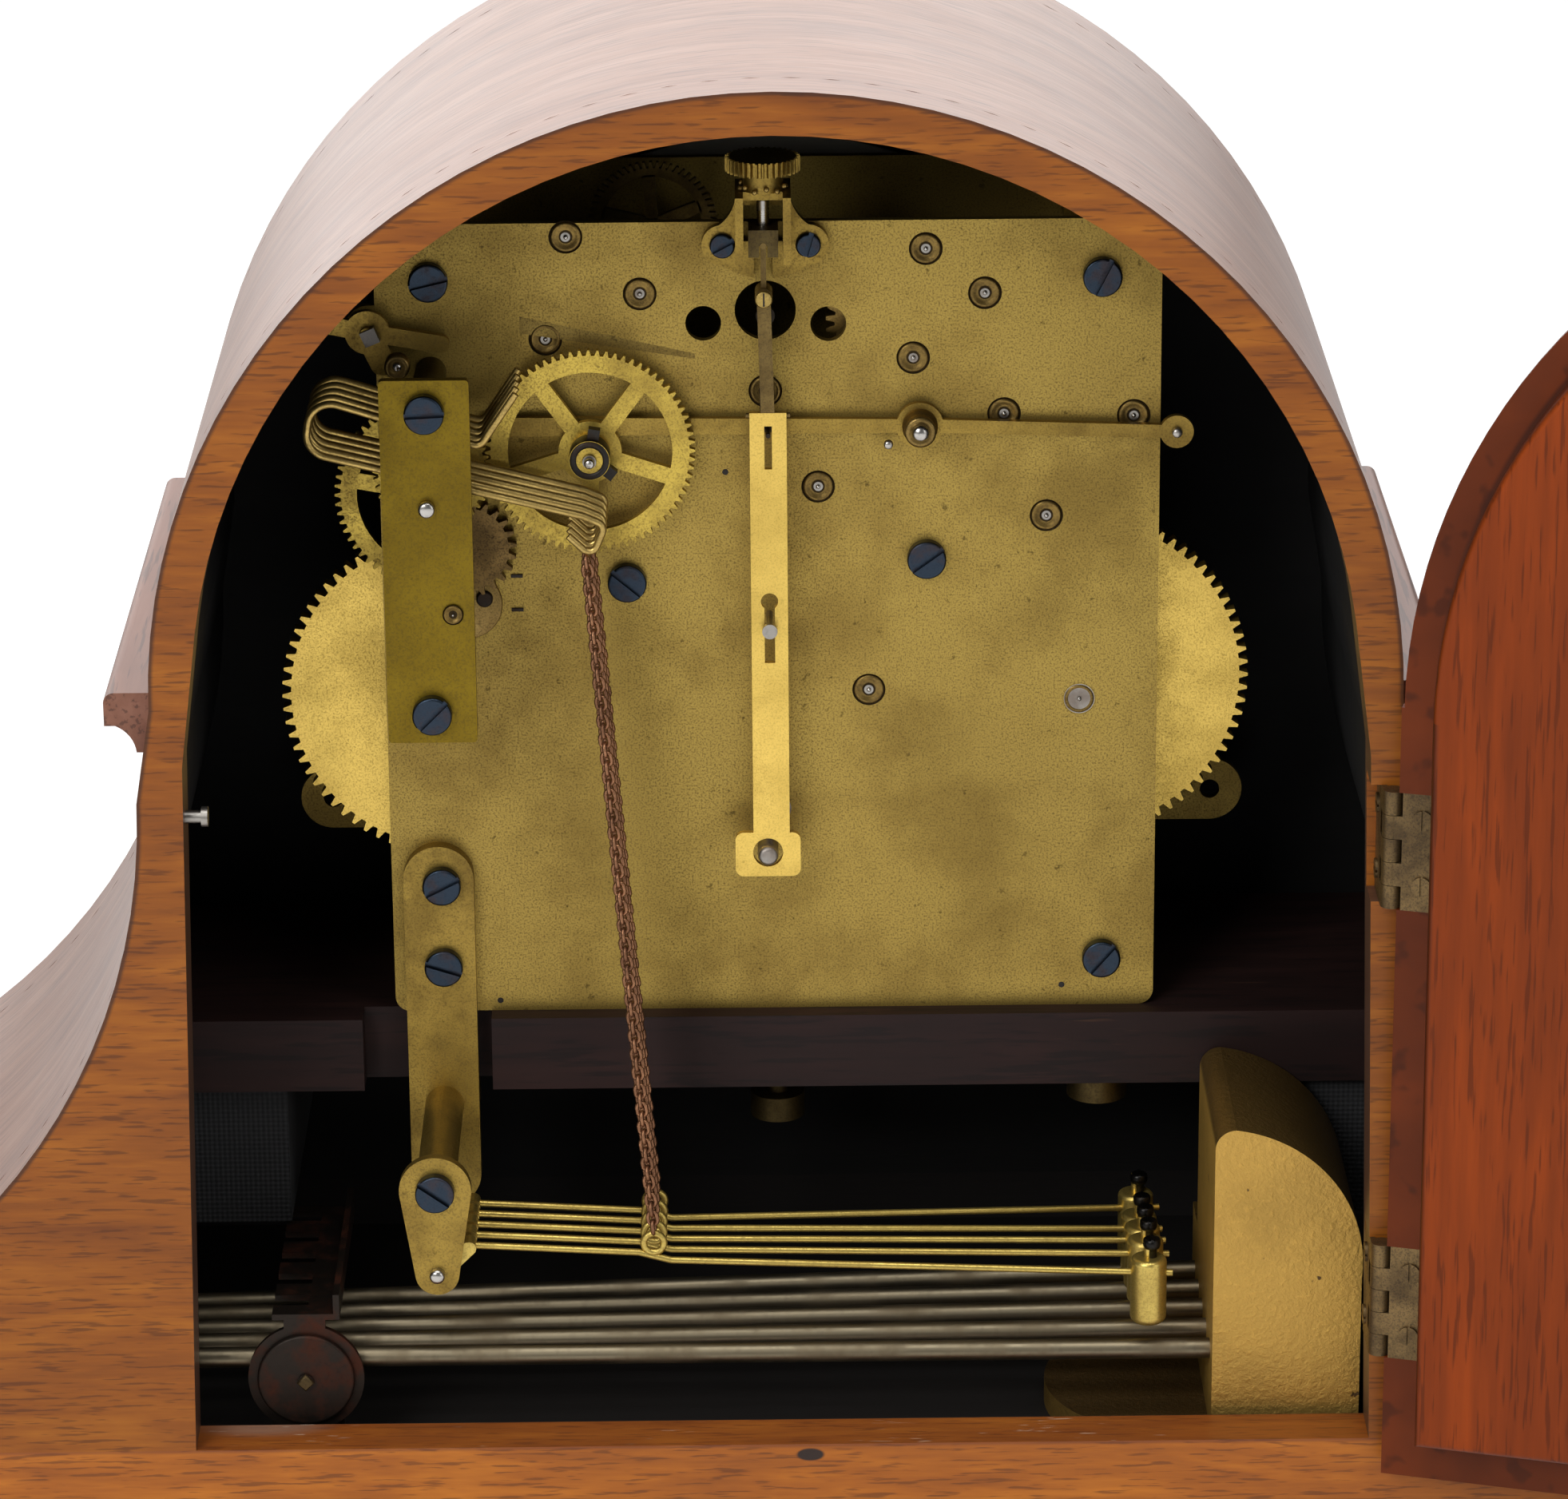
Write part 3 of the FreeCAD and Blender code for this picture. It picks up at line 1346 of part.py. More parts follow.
for index in range(hammer_count):
    cam_y = first_lifter_y - index * lifter_pitch
    drum_pieces.append(peg(drum_x, drum_z, cam_radius, cam_y - cam_width / 2, cam_y + cam_width / 2))
drum = single(fuse(drum_pieces))
idler_turn = meshing(0, drum_x, drum_z, drum_small_teeth, idler_x, idler_z, idler_teeth)
idler = gear(idler_x, idler_z, idler_teeth, idler_radius, idler_front_y, idler_front_y + idler_thickness,
             idler_turn)
idler = single(idler.cut(peg(idler_x, idler_z, idler_stud + running_gap, front_y, back_y)))

# Long lever
lever_back_y = lever_front_y + lever_thickness
long_lever = fuse([
    link_bar((lever_hub_x, lever_z), (lever_tip_x, rise(lever_tip_rise)), lever_half_width, lever_tip_radius,
             lever_front_y, lever_back_y),
    link_bar((lever_hub_x, lever_z), (lever_disc_x, rise(lever_disc_rise)), lever_half_width,
             lever_half_width, lever_front_y, lever_back_y),
    peg(lever_disc_x, rise(lever_disc_rise), lever_disc_radius, lever_front_y, lever_back_y),
    peg(lever_hub_x, lever_z, lever_hub_radius, lever_front_y, lever_back_y),
])
lever_bore = peg(lever_hub_x, lever_z, lever_stud_radius + running_gap, front_y, back_y)
long_lever = single(long_lever.cut(lever_bore))

# Three-arm lever on its arbor, which turns in the back plate's cock
arm_back_y = arm_front_y + arm_thickness
arm_hub = (arm_hub_x, arm_z)
three_arm = fuse([
    link_bar(arm_hub, (arm_left_x, rise(arm_left_rise)), arm_tip_radius, arm_tip_radius,
             arm_front_y, arm_back_y),
    link_bar(arm_hub, (arm_right_x, rise(arm_right_rise)), arm_tip_radius, arm_tip_radius,
             arm_front_y, arm_back_y),
    link_bar(arm_hub, (arm_low_x, rise(arm_low_rise)), arm_low_radius, arm_low_radius,
             arm_front_y, arm_back_y),
    peg(arm_hub_x, arm_z, arm_hub_radius, arm_front_y, arm_back_y),
    peg(arm_hub_x, arm_z, arm_arbor_radius, front_plate_front_y, arm_back_y + arm_thickness),
])
three_arm = single(three_arm)
back_lug = fuse([
    back_plate,
    link_bar((plate_right - arm_stand_width, arm_z), arm_hub, arm_stand_width / 2, arm_hub_radius,
             plate_front_y, plate_back_y),
])
plate_ears = []
ear_holes = []
for hand in (1, -1):
    root = (plate_centre_x + hand * (plate_width / 2 - ear_radius), drop(ear_drop))
    tip = (plate_centre_x + hand * ear_out_x, drop(ear_drop))
    plate_ears.append(link_bar(root, tip, ear_radius, ear_radius, front_plate_front_y, front_plate_back_y))
    ear_holes.append(peg(tip[0], tip[1], ear_hole, front_y, back_y))
front_lug = fuse(plate_ears + [
    front_plate,
    link_bar((plate_right - arm_stand_width, arm_z), arm_hub, arm_stand_width / 2, arm_hub_radius,
             front_plate_front_y, front_plate_back_y),
])
arm_bore = peg(arm_hub_x, arm_z, arm_arbor_radius + running_gap, front_y, back_y)
back_plate = single(back_lug.cut(arm_bore))
front_plate = front_lug.cut(arm_bore)
for hole in ear_holes:
    front_plate = front_plate.cut(hole)
front_plate = single(front_plate)

# Hammers: hub, wire, eye and head
hammers = []
eye_z = drop(wire_one_drop) + eye_ring
for index in range(hammer_count):
    hub_y = first_hub_y - index * hub_pitch
    rod_y = first_rod_y - index * rod_pitch
    head_top = drop(head_top_drop) + hammer_lifts[index]
    points = [
        at(hub_reach_x, hub_y, drop(hub_reach_drop)),
        at(wire_one_x, hub_y, drop(wire_one_drop)),
        at(wire_two_x, hub_y, drop(wire_two_drop)),
        at(wire_end_x, rod_y, drop(wire_end_drop) + hammer_lifts[index]),
    ]
    wire = tube(points, [lifter_bend, lifter_bend], wire_radius)
    eye = Part.makeTorus(eye_ring, wire_radius, at(eye_x, hub_y, eye_z), V(0, 1, 0))
    hub = link_bar((hammer_x, hammer_z), (hub_reach_x, drop(hub_reach_drop)), hub_radius, wire_radius * 2,
                   hub_y - hub_length / 2, hub_y + hub_length / 2)
    arm = fuse([hub, wire, eye])
    arm = arm.cut(peg(hammer_x, hammer_z, hammer_arbor_radius + running_gap, front_y, back_y))
    head = peg_z(head_x, rod_y, head_radius, head_top - head_height, head_top)
    nose = [e for e in head.Edges if all(v.Z < head_top - head_height / 2 for v in e.Vertexes)]
    head = head.makeFillet(head_nose, nose)
    crown = [e for e in head.Edges if all(v.Z > head_top - running_gap for v in e.Vertexes)]
    head = head.makeFillet(head_crown, crown)
    clamp = peg_z(head_x, rod_y, head_screw_radius, head_top, head_top + head_screw_height)
    head = fuse([head, clamp])
    hammers.append([single(arm), single(head.cut(arm))])

# Lifters: a hairpin of wire on a hub that turns on the bridge's arbor
lifters = []
for index in range(hammer_count):
    y = first_lifter_y - index * lifter_pitch
    points = [
        at(lifter_tip_x, y, rise(lifter_tip_rise)),
        at(lifter_low_x, y, rise(lifter_low_rise)),
        at(lifter_far_x, y, rise(lifter_far_rise)),
        at(lifter_back_x, y, rise(lifter_back_rise)),
        at(lifter_hook_x, y, rise(lifter_hook_rise)),
        at(hook_one_x, y, rise(hook_one_rise)),
        at(hook_two_x, y, rise(hook_two_rise)),
        at(hook_end_x, y, rise(hook_end_rise)),
    ]
    bends = [lifter_bend, lifter_turn, lifter_turn, lifter_bend, hook_bend, hook_bend]
    wire = tube(points, bends, lifter_radius)
    low = y - lifter_hub_length / 2
    high = y + lifter_hub_length / 2
    yoke = block(lifter_x - lifter_link_half, lifter_x + lifter_link_half, low, high,
                 lifter_z - lifter_turn, lifter_z + lifter_turn)
    hub = peg(lifter_x, lifter_z, lifter_hub, low, high)
    lifter = fuse([wire, yoke, hub])
    lifter = lifter.cut(peg(lifter_x, lifter_z, lifter_arbor_radius + running_gap, front_y, back_y))
    lifters.append(single(lifter))

# Chains between the hooks and the hammers' eyes
chains = []
for index in range(hammer_count):
    y0 = first_lifter_y - index * lifter_pitch
    y1 = first_hub_y - index * hub_pitch
    top = at(chain_top_x, y0, rise(chain_top_rise))
    foot = at(chain_low_x, y1, drop(chain_low_drop) + chain_radius)
    eye = peg(chain_top_x, rise(chain_top_rise), chain_eye_radius, y0 - chain_eye_half, y0 + chain_eye_half)
    chains.append(single(fuse([eye, straight(top, foot, chain_radius)])))

# Gong block and chime rods
floor_z = base_well_floor
gong_y0 = gong_front_y
g_top = drop(gong_top_drop)
g_side = drop(gong_shoulder_drop)
curve_drop = g_top - g_side
curve_wide = gong_right_x - gong_left_x - gong_corner
g = [
    at(gong_right_x, gong_y0, floor_z),
    at(gong_right_x, gong_y0, g_top - gong_corner),
    at(gong_right_x - gong_corner, gong_y0, g_top),
    at(gong_left_x, gong_y0, g_side),
    at(gong_left_x, gong_y0, floor_z),
]
corner_mid = at(gong_right_x - gong_corner * (1 - half_way), gong_y0, g_top - gong_corner * (1 - half_way))
sweep_mid = at(gong_left_x + curve_wide * (1 - half_way), gong_y0, g_side + curve_drop * half_way)
gong = profile([line(g[0], g[1]), arc(g[1], corner_mid, g[2]), arc(g[2], sweep_mid, g[3]), line(g[3], g[4]),
                line(g[4], g[0])], gong_y0, gong_back_y)
flange_y = (gong_y0 + gong_back_y) / 2
flange = peg_z(gong_flange_x, flange_y, gong_flange_radius, floor_z, floor_z + gong_flange_height)
flange = flange.cut(block(gong_left_x - overrun, gong_right_x - gong_corner, gong_y0 - overrun,
                          gong_back_y + overrun, floor_z - overrun, floor_z + gong_flange_height + overrun))
gong = gong.fuse(flange)
rods = []
for index in range(hammer_count):
    y = first_rod_y - index * rod_pitch
    z_left = drop(rod_near_drop + index * rod_drop_step)
    z_right = drop(rod_right_near_drop + index * rod_right_step)
    rods.append(straight(at(rod_left_x, y, z_left), at(rod_right_x, y, z_right), rod_thickness))
gong = gong.cut(block(gong_left_x - overrun, gong_right_x + overrun, gong_y0 - overrun, gong_step_y,
                      drop(gong_step_drop), g_top + overrun))
for rod in rods:
    gong = gong.cut(rod)
gong = single(gong)

# Comb plate on its pivot, and the bracket that carries it
comb_z = drop(comb_drop)
comb_back_y = comb_front_y + comb_thickness
comb_top = drop(comb_rise_drop)
comb = [
    peg(comb_x, comb_z, comb_rim, comb_front_y, comb_back_y),
    block(comb_x - comb_neck_half, comb_x + comb_neck_half, comb_front_y, comb_back_y, comb_z, comb_top),
    block(comb_left_x, comb_right_x, comb_low_y, comb_back_y, comb_top - comb_thickness, comb_top),
    block(comb_left_x, comb_left_x + comb_thickness, comb_low_y, comb_back_y, comb_top - comb_thickness,
          comb_top + comb_fold),
]
comb = fuse(comb)
for index in range(hammer_count):
    y = first_rod_y - index * rod_pitch
    comb = comb.cut(block(comb_right_x - comb_tooth * 2, comb_right_x + overrun, y - comb_tooth,
                          y + comb_tooth_back, comb_top - comb_thickness - overrun, comb_top + overrun))
comb = single(comb.cut(peg(comb_x, comb_z, comb_pivot + running_gap, front_y, back_y)))
bracket_y = comb_back_y + running_gap
stand_y = comb_front_y - running_gap
cap_y = bracket_y + comb_thickness
stand = fuse([
    softened(peg(comb_x, comb_z, comb_disc, bracket_y, cap_y), cap_y, comb_thickness / 2),
    peg(comb_x, comb_z, comb_rivet, cap_y, cap_y + comb_thickness / 2),
    peg(comb_x, comb_z, comb_pivot, stand_y - comb_thickness, bracket_y),
    block(comb_x - comb_stand_half, comb_x + comb_stand_half, stand_y - comb_thickness, stand_y,
          floor_z, comb_z + comb_stand_half),
])

# Dial, bezel, glass and hands
dial_front_y = inner_front_y
dial_back_y = dial_front_y + dial_thickness
dial = [peg(0, arch_height, dial_radius, dial_front_y, dial_back_y)]
foot_reach = dial_radius * dial_foot_place_share * half_way
for sx in (1, -1):
    for sz in (1, -1):
        foot = peg(sx * foot_reach, arch_height + sz * foot_reach, dial_foot_radius, dial_back_y,
                   front_plate_back_y)
        dial.append(foot)
        front_plate = front_plate.cut(foot)
dial = fuse(dial)
for place in ((chime_x, chime_z), (strike_x, strike_z), (time_x, time_z)):
    dial = dial.cut(peg(place[0], place[1], winding_hole, front_y, dial_back_y + running_gap))
dial = single(dial.cut(peg(0, arch_height, centre_hole, front_y, dial_back_y + overrun)))
front_plate = single(front_plate)

bezel_back_y = front_y - door_gap
bezel_front_y = bezel_back_y - bezel_depth
step_y = bezel_back_y - bezel_step
ring = fuse([
    peg(0, arch_height, bezel_outer, step_y, bezel_back_y),
    peg(0, arch_height, bezel_outer - bezel_step, bezel_front_y, step_y),
])
ring = ring.cut(peg(0, arch_height, bezel_inner, bezel_front_y - overrun, bezel_back_y + overrun))
glass_back_y = bezel_back_y
glass_front_y = glass_back_y - glass_seat
ring = ring.cut(peg(0, arch_height, glass_radius + free_gap, glass_front_y, bezel_back_y + overrun))
glass = peg(0, arch_height, glass_radius, glass_front_y, glass_front_y + glass_thickness)
bezel_hinge_y = front_y - bezel_knuckle - free_gap
third = bezel_hinge_length / bezel_knuckle_count
bz0 = arch_height - bezel_hinge_length / 2
fixed_knuckles = []
bezel_pin = peg_z(bezel_pin_x, bezel_hinge_y, bezel_pin_radius, bz0, bz0 + bezel_hinge_length)
for low in (bz0, bz0 + 2 * third):
    fixed_knuckles.append(peg_z(bezel_pin_x, bezel_hinge_y, bezel_knuckle, low + running_gap,
                                low + third - running_gap))
    fixed_knuckles.append(block(bezel_pin_x, bezel_pin_x + bezel_knuckle, bezel_hinge_y, front_y,
                                low + running_gap, low + third - running_gap))
fixed_hinge = fuse(fixed_knuckles + [
    block(bezel_pin_x, bezel_pin_x + leaf_width, front_y - leaf_thickness, front_y, bz0,
          bz0 + bezel_hinge_length)])
fixed_hinge = fixed_hinge.cut(bezel_pin)
moving_low = bz0 + third
moving_high = moving_low + third
fixed_hinge = fixed_hinge.cut(peg_z(bezel_pin_x, bezel_hinge_y, bezel_knuckle + free_gap,
                                    moving_low, moving_high))
knuckle = peg_z(bezel_pin_x, bezel_hinge_y, bezel_knuckle,
                moving_low + running_gap, moving_high - running_gap)
tongue = block(bezel_outer - bezel_step, bezel_pin_x, bezel_hinge_y - leaf_thickness,
               bezel_hinge_y + leaf_thickness, moving_low + running_gap, moving_high - running_gap)
ring = fuse([ring, knuckle, tongue])
ring = single(ring.cut(peg_z(bezel_pin_x, bezel_hinge_y, bezel_pin_radius + running_gap, bz0 - overrun,
                             bz0 + bezel_hinge_length + overrun)))

hour_y = dial_front_y - free_gap * 2
minute_y = hour_y - hand_thickness - free_gap * 2
hour_hand = fuse([
    peg(0, arch_height, hour_hub, hour_y - hand_thickness, hour_y),
    slab([(-hour_half, arch_height), (0, arch_height + hour_length), (hour_half, arch_height)],
         hour_y - hand_thickness, hour_y),
    peg(0, arch_height, cannon_tip, hour_y, dial_back_y + hand_hub_length),
])
hour_hand = single(hour_hand.cut(peg(0, arch_height, cannon_radius + running_gap, front_y, back_y)))
minute_hand = fuse([
    peg(0, arch_height, minute_hub, minute_y - hand_thickness, minute_y),
    slab([(-minute_half, arch_height), (0, arch_height + minute_length), (minute_half, arch_height)],
         minute_y - hand_thickness, minute_y),
    peg(0, arch_height, cannon_radius, minute_y, front_plate_back_y),
])
minute_hand.rotate(V(0, 0, arch_height), V(0, 1, 0), minute_hand_angle)
hour_hand.rotate(V(0, 0, arch_height), V(0, 1, 0), hour_hand_angle)
minute_hand = single(minute_hand)

save("base_plinth", [base])
save("front_board", [front_board])
save("back_board", [back_board])
save("case_shell", [shell])
save("impost_mouldings", imposts)
save("seat_board", [seat])
save("seat_cleats", cleats)
save("latch_pin", [latch])
save("case_hinges", case_hinges)
save("dial", [dial])
save("front_plate", [front_plate])
save("back_plate", [back_plate])
save("plate_pillars", pillars)
save("movement_screws", screws)
save("steel_arbors", arbors)
save("drum_bridge", [bridge])
save("suspension_bracket", [bracket])
save("hammer_bracket", [hammer_bracket])
save("link_plate", [link_plate])
save("gong_block", [gong])
save("chime_rods", rods)
save("comb_bracket", [stand])
save("seat_bolts", seat_bolts)
save("bezel_hinge", [fixed_hinge, bezel_pin])
save("back_door", [door])
save("door_hinges", door_hinges)
save("bezel_ring", [ring])
save("bezel_glass", [glass])
save("hour_hand", [hour_hand])
save("minute_hand", [minute_hand])
save("rate_nut", [rate_nut])
save("suspension_block", [hanger])
save("suspension_rod", [suspension_rod])
save("pendulum_strip", [strip])
save("crutch", [crutch])
save("chime_great_wheel", [chime_great])
save("strike_great_wheel", [strike_great])
save("time_great_wheel", [time_great])
save("spoked_wheel", [spoked])
save("chime_drum", [drum])
save("chime_second_wheel", [second_wheel])
save("idler_gear", [idler])
save("long_lever", [long_lever])
save("three_arm_lever", [three_arm])
save("comb_arm", [comb])
for index in range(hammer_count):
    number = str(index + 1)
    save("hammer_" + number, hammers[index])
    save("lifter_" + number, [lifters[index]])
    save("chain_" + number, [chains[index]])
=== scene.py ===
import math

import bmesh
import bpy
from bpy.props import FloatProperty, FloatVectorProperty, PointerProperty
from mathutils import Matrix, Vector


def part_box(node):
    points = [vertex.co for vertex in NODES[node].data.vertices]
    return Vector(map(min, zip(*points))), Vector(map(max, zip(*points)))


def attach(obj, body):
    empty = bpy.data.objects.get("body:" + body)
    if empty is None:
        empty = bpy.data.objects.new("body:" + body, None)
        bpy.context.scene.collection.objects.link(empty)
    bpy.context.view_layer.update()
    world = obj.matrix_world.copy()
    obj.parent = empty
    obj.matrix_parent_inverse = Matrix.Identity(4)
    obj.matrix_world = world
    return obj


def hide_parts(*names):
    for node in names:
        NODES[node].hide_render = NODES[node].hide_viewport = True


bl_info = {
    "name": "Tambour mantel clock",
    "version": (1, 0, 0),
    "blender": (4, 5, 0),
    "location": "3D View > Sidebar > Clock",
    "description": "Dresses a jointed mantel clock: case, door, movement, hammers, chains, dial",
    "category": "Object",
}

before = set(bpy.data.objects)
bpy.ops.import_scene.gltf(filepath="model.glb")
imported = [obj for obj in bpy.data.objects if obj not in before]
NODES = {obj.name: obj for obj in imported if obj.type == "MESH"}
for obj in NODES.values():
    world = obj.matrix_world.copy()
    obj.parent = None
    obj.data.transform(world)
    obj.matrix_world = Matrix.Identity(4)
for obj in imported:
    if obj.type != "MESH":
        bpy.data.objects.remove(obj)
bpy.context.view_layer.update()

# Sizes and places in metres; (x, rise) places count from the centre of the arch
ARCH_HEIGHT = 0.175
ARCH_RADIUS = 0.115
WAIST_TAPER = 6.0
SHOULDER_X = 0.238
SHOULDER_DROP = 0.018
SHOULDER_RADIUS = 0.120
TOE_X = 0.262
TOE_DROP = 0.138
PANEL_RADIUS = 0.105
PANEL_HALF = 0.1045
PANEL_FOOT = 0.030
DOOR_PIN = (-0.1134, 0.0722, 0.0)
DOOR_ANGLE = math.radians(163.4)
SPOKED_AXIS = (0.0347, 0.0323)
LEVER_AXIS = (-0.028, 0.0361)
SINKS = ((0.0387, 0.0730), (0.0249, 0.0618), (-0.0292, 0.0701), (-0.0404, 0.0614), (-0.0268, 0.0488),
         (0.0013, 0.0425), (0.0429, 0.0531), (-0.0441, 0.0376), (-0.0688, 0.0370), (-0.0086, 0.0234),
         (-0.0523, 0.0172), (-0.0182, -0.0177), (-0.0589, -0.0200))
IMAGE_WIDTH = 1963.0
FOCAL_PIXELS = 7686.98
SENSOR_WIDTH = 36.0
CAMERA_PLACE = (0.004962, 1.13258, 0.54436)
CAMERA_TURN = (-0.0059179, 0.3416682, -0.0081637)
WHITE = (1.0, 1.0, 1.0)
# Each lamp: name, place, height of its aim, size
LAMPS = (("key", (0.75, 1.25, 0.95), 0.17, 0.7), ("top", (0.0, 0.25, 1.35), 0.2, 1.1),
         ("fill", (-1.1, 1.0, 0.6), 0.17, 0.8), ("wall", (0.25, -2.6, 0.9), 0.2, 2.6))


# Shader maths written as expressions on sockets

class Wire:
    """A shader socket; sums on it add Math nodes to its material."""

    def __init__(self, paint, socket):
        self.paint = paint
        self.socket = socket

    def math(self, operation, first, second=None):
        values = {0: first} if second is None else {0: first, 1: second}
        return self.paint.add("ShaderNodeMath", {"operation": operation}, values)

    def __add__(self, other):
        return self.math("ADD", self, other)

    __radd__ = __add__

    def __sub__(self, other):
        return self.math("SUBTRACT", self, other)

    def __rsub__(self, other):
        return self.math("SUBTRACT", other, self)

    def __mul__(self, other):
        return self.math("MULTIPLY", self, other)

    __rmul__ = __mul__

    def __truediv__(self, other):
        return self.math("DIVIDE", self, other)

    def __gt__(self, other):
        return self.math("GREATER_THAN", self, other)

    def __abs__(self):
        return self.math("ABSOLUTE", self)

    def least(self, other):
        return self.math("MINIMUM", self, other)

    def most(self, other):
        return self.math("MAXIMUM", self, other)

    def root(self):
        return self.math("SQRT", self)

    def between(self, low, high):
        """0 below low, 1 above high, smooth in between."""
        return self.paint.add(
            "ShaderNodeMapRange",
            {"interpolation_type": "SMOOTHSTEP"},
            {"Value": self, "From Min": low, "From Max": high},
        )


class Paint:
    """A material, or the node tree that is given, put together from nodes."""

    def __init__(self, name, tree=None):
        if tree is None:
            self.material = bpy.data.materials.new(name)
            self.material.use_nodes = True
            tree = self.material.node_tree
        self.tree = tree
        self.tree.nodes.clear()

    def fill(self, node, values):
        for key, value in values.items():
            socket = node.inputs[key]
            if isinstance(value, Wire):
                self.tree.links.new(value.socket, socket)
            elif socket.type == "RGBA" and len(value) == 3:
                socket.default_value = (*value, 1.0)
            else:
                socket.default_value = value
        return node

    def add(self, kind, settings=None, values=None, out=0):
        node = self.tree.nodes.new(kind)
        for key, value in (settings or {}).items():
            if key == "stops":
                ramp = node.color_ramp
                while len(ramp.elements) < len(value):
                    ramp.elements.new(0.5)
                for element, (place, colour) in zip(ramp.elements, value):
                    element.position = place
                    element.color = (*colour, 1.0)
            else:
                setattr(node, key, value)
        self.fill(node, values or {})
        return Wire(self, node.outputs[out])

    def place(self):
        return self.add("ShaderNodeTexCoord", out="Object")

    def parts(self, vector):
        node = self.fill(self.tree.nodes.new("ShaderNodeSeparateXYZ"), {0: vector})
        return [Wire(self, socket) for socket in node.outputs]

    def scaled(self, vector, factors):
        return self.add("ShaderNodeVectorMath", {"operation": "MULTIPLY"}, {0: vector, 1: factors})

    def noise(self, vector, scale, detail=3.0, rough=0.55, twist=0.0):
        return self.add(
            "ShaderNodeTexNoise",
            {},
            {"Vector": vector, "Scale": scale, "Detail": detail, "Roughness": rough, "Distortion": twist},
        )

    def ramp(self, value, stops):
        return self.add("ShaderNodeValToRGB", {"stops": stops}, {"Fac": value})

    def mix(self, amount, first, second):
        return self.add("ShaderNodeMix", {"data_type": "RGBA"}, {0: amount, 6: first, 7: second}, out=2)

    def layers(self, colour, *layers):
        """Lays colours over the first one; each layer is an amount and a colour."""
        for amount, over in layers:
            colour = self.mix(amount, colour, over)
        return colour

    def ray(self, kind):
        return self.add("ShaderNodeLightPath", out=kind)

    def normal(self):
        return self.parts(self.add("ShaderNodeNewGeometry", out="Normal"))

    def bump(self, height, strength, distance):
        return self.add(
            "ShaderNodeBump", {}, {"Height": height, "Strength": strength, "Distance": distance}, out="Normal"
        )

    def finish(self, values):
        self.add_output(self.add("ShaderNodeBsdfPrincipled", {}, values))
        return self.material

    def add_output(self, shader, kind="ShaderNodeOutputMaterial"):
        self.fill(self.tree.nodes.new(kind), {"Surface": shader})


def tone(colour, gain):
    """The colour made lighter or darker."""
    return tuple(max(0.0, min(1.0, part * gain)) for part in colour)


# Wood: bands, streaks and pores, all drawn out along the grain

def grain(paint, vector, along, across, twist=0.0):
    """Returns figure, streaks and pores for a grain whose three scales are given."""
    fine = tuple(a * 2.0 if a == min(along) else a * across for a in along)
    figure = paint.noise(paint.scaled(vector, along), 1.0, 4.0, 0.55, twist + 0.6)
    streaks = paint.noise(paint.scaled(vector, fine), 1.0, 3.0, 0.6, twist)
    pores = paint.noise(paint.scaled(vector, tuple(f * 3.0 for f in fine)), 1.0, 2.0, 0.5)
    return figure, streaks, pores


def wood_colour(paint, figure, streaks, pores, dark, middle, light):
    base = paint.ramp(figure * 0.6 + streaks * 0.4, [(0.25, dark), (0.5, middle), (0.75, light)])
    flecks = pores.between(0.55, 0.66)
    return paint.mix(flecks * 0.6, base, tone(dark, 0.5))


def relief(streaks, pores):
    return streaks * 0.6 + pores * 0.4


def wood_finish(paint, colour, rough, height, bump=(0.15, 0.0006), coat=0.15, coat_rough=0.28, specular=0.3):
    return paint.finish({
        "Base Color": colour,
        "Roughness": rough,
        "Normal": paint.bump(height, *bump),
        "Coat Weight": coat,
        "Coat Roughness": coat_rough,
        "Specular IOR Level": specular,
    })


def case_depth(x, z):
    """How far inside the case's outline a point lies, in metres."""
    px = abs(x)
    pz = z - ARCH_HEIGHT
    arch = ARCH_RADIUS - (px * px + pz * pz).root()
    waist = ARCH_RADIUS - pz / WAIST_TAPER - px
    sx = px - SHOULDER_X
    sz = pz + SHOULDER_DROP
    sweep = (sx * sx + sz * sz).root() - SHOULDER_RADIUS
    toe = (-TOE_DROP - pz).least(TOE_X - px)
    high = pz > 0.0
    middle = (pz > -SHOULDER_DROP) * (1.0 - high)
    far = (px > SHOULDER_X) * (1.0 - high) * (1.0 - middle)
    low = (1.0 - high) * (1.0 - middle) * (1.0 - far)
    return arch * high + waist * middle + toe * far + sweep * low


def case_wood(name, colours, painted_sheen_colours):
    paint = Paint(name)
    place = paint.place()
    x, y, z = paint.parts(place)
    face = abs(paint.normal()[1]).between(0.6, 0.8)
    depth = case_depth(x, z)
    figure, streaks, pores = grain(paint, place, (22.0, 95.0, 95.0), 5.5)
    flat = wood_colour(paint, figure, streaks, pores, *colours)
    # Surfaces other than the flat faces (the drum, sweeps and edges) carry grain running round them, in pale
    # greyish pink tones that are a painted sheen of the white surroundings seen at a grazing angle.
    figure2, streaks2, pores2 = grain(paint, place, (16.0, 150.0, 16.0), 4.6)
    sheen_painted_round = wood_colour(paint, figure2, streaks2, pores2, *painted_sheen_colours)
    edge = (1.0 - depth.between(0.0003, 0.0011)) * face
    blot = paint.noise(place, 16.0, 3.0, 0.6).between(0.35, 0.75)
    inside = (1.0 - abs(y).between(0.0591, 0.0596)) * depth.between(0.002, 0.004)
    jamb = (1.0 - face) * depth.between(0.004, 0.006)
    colour = paint.layers(
        sheen_painted_round, (face, flat), (edge * 0.8, (0.035, 0.012, 0.006)), (blot * 0.2, tone(colours[0], 0.9)),
        (jamb * 0.75, (0.030, 0.014, 0.008)), (inside, (0.006, 0.0055, 0.005)))
    rough = 0.42 + figure * 0.12 + inside * 0.3
    height = relief(streaks, pores) * face + relief(streaks2, pores2) * (1.0 - face)
    coat = (1.0 - inside) * (0.06 + (1.0 - face) * 0.34)
    return wood_finish(paint, colour, rough, height, (0.16, 0.0006), coat, 0.3)


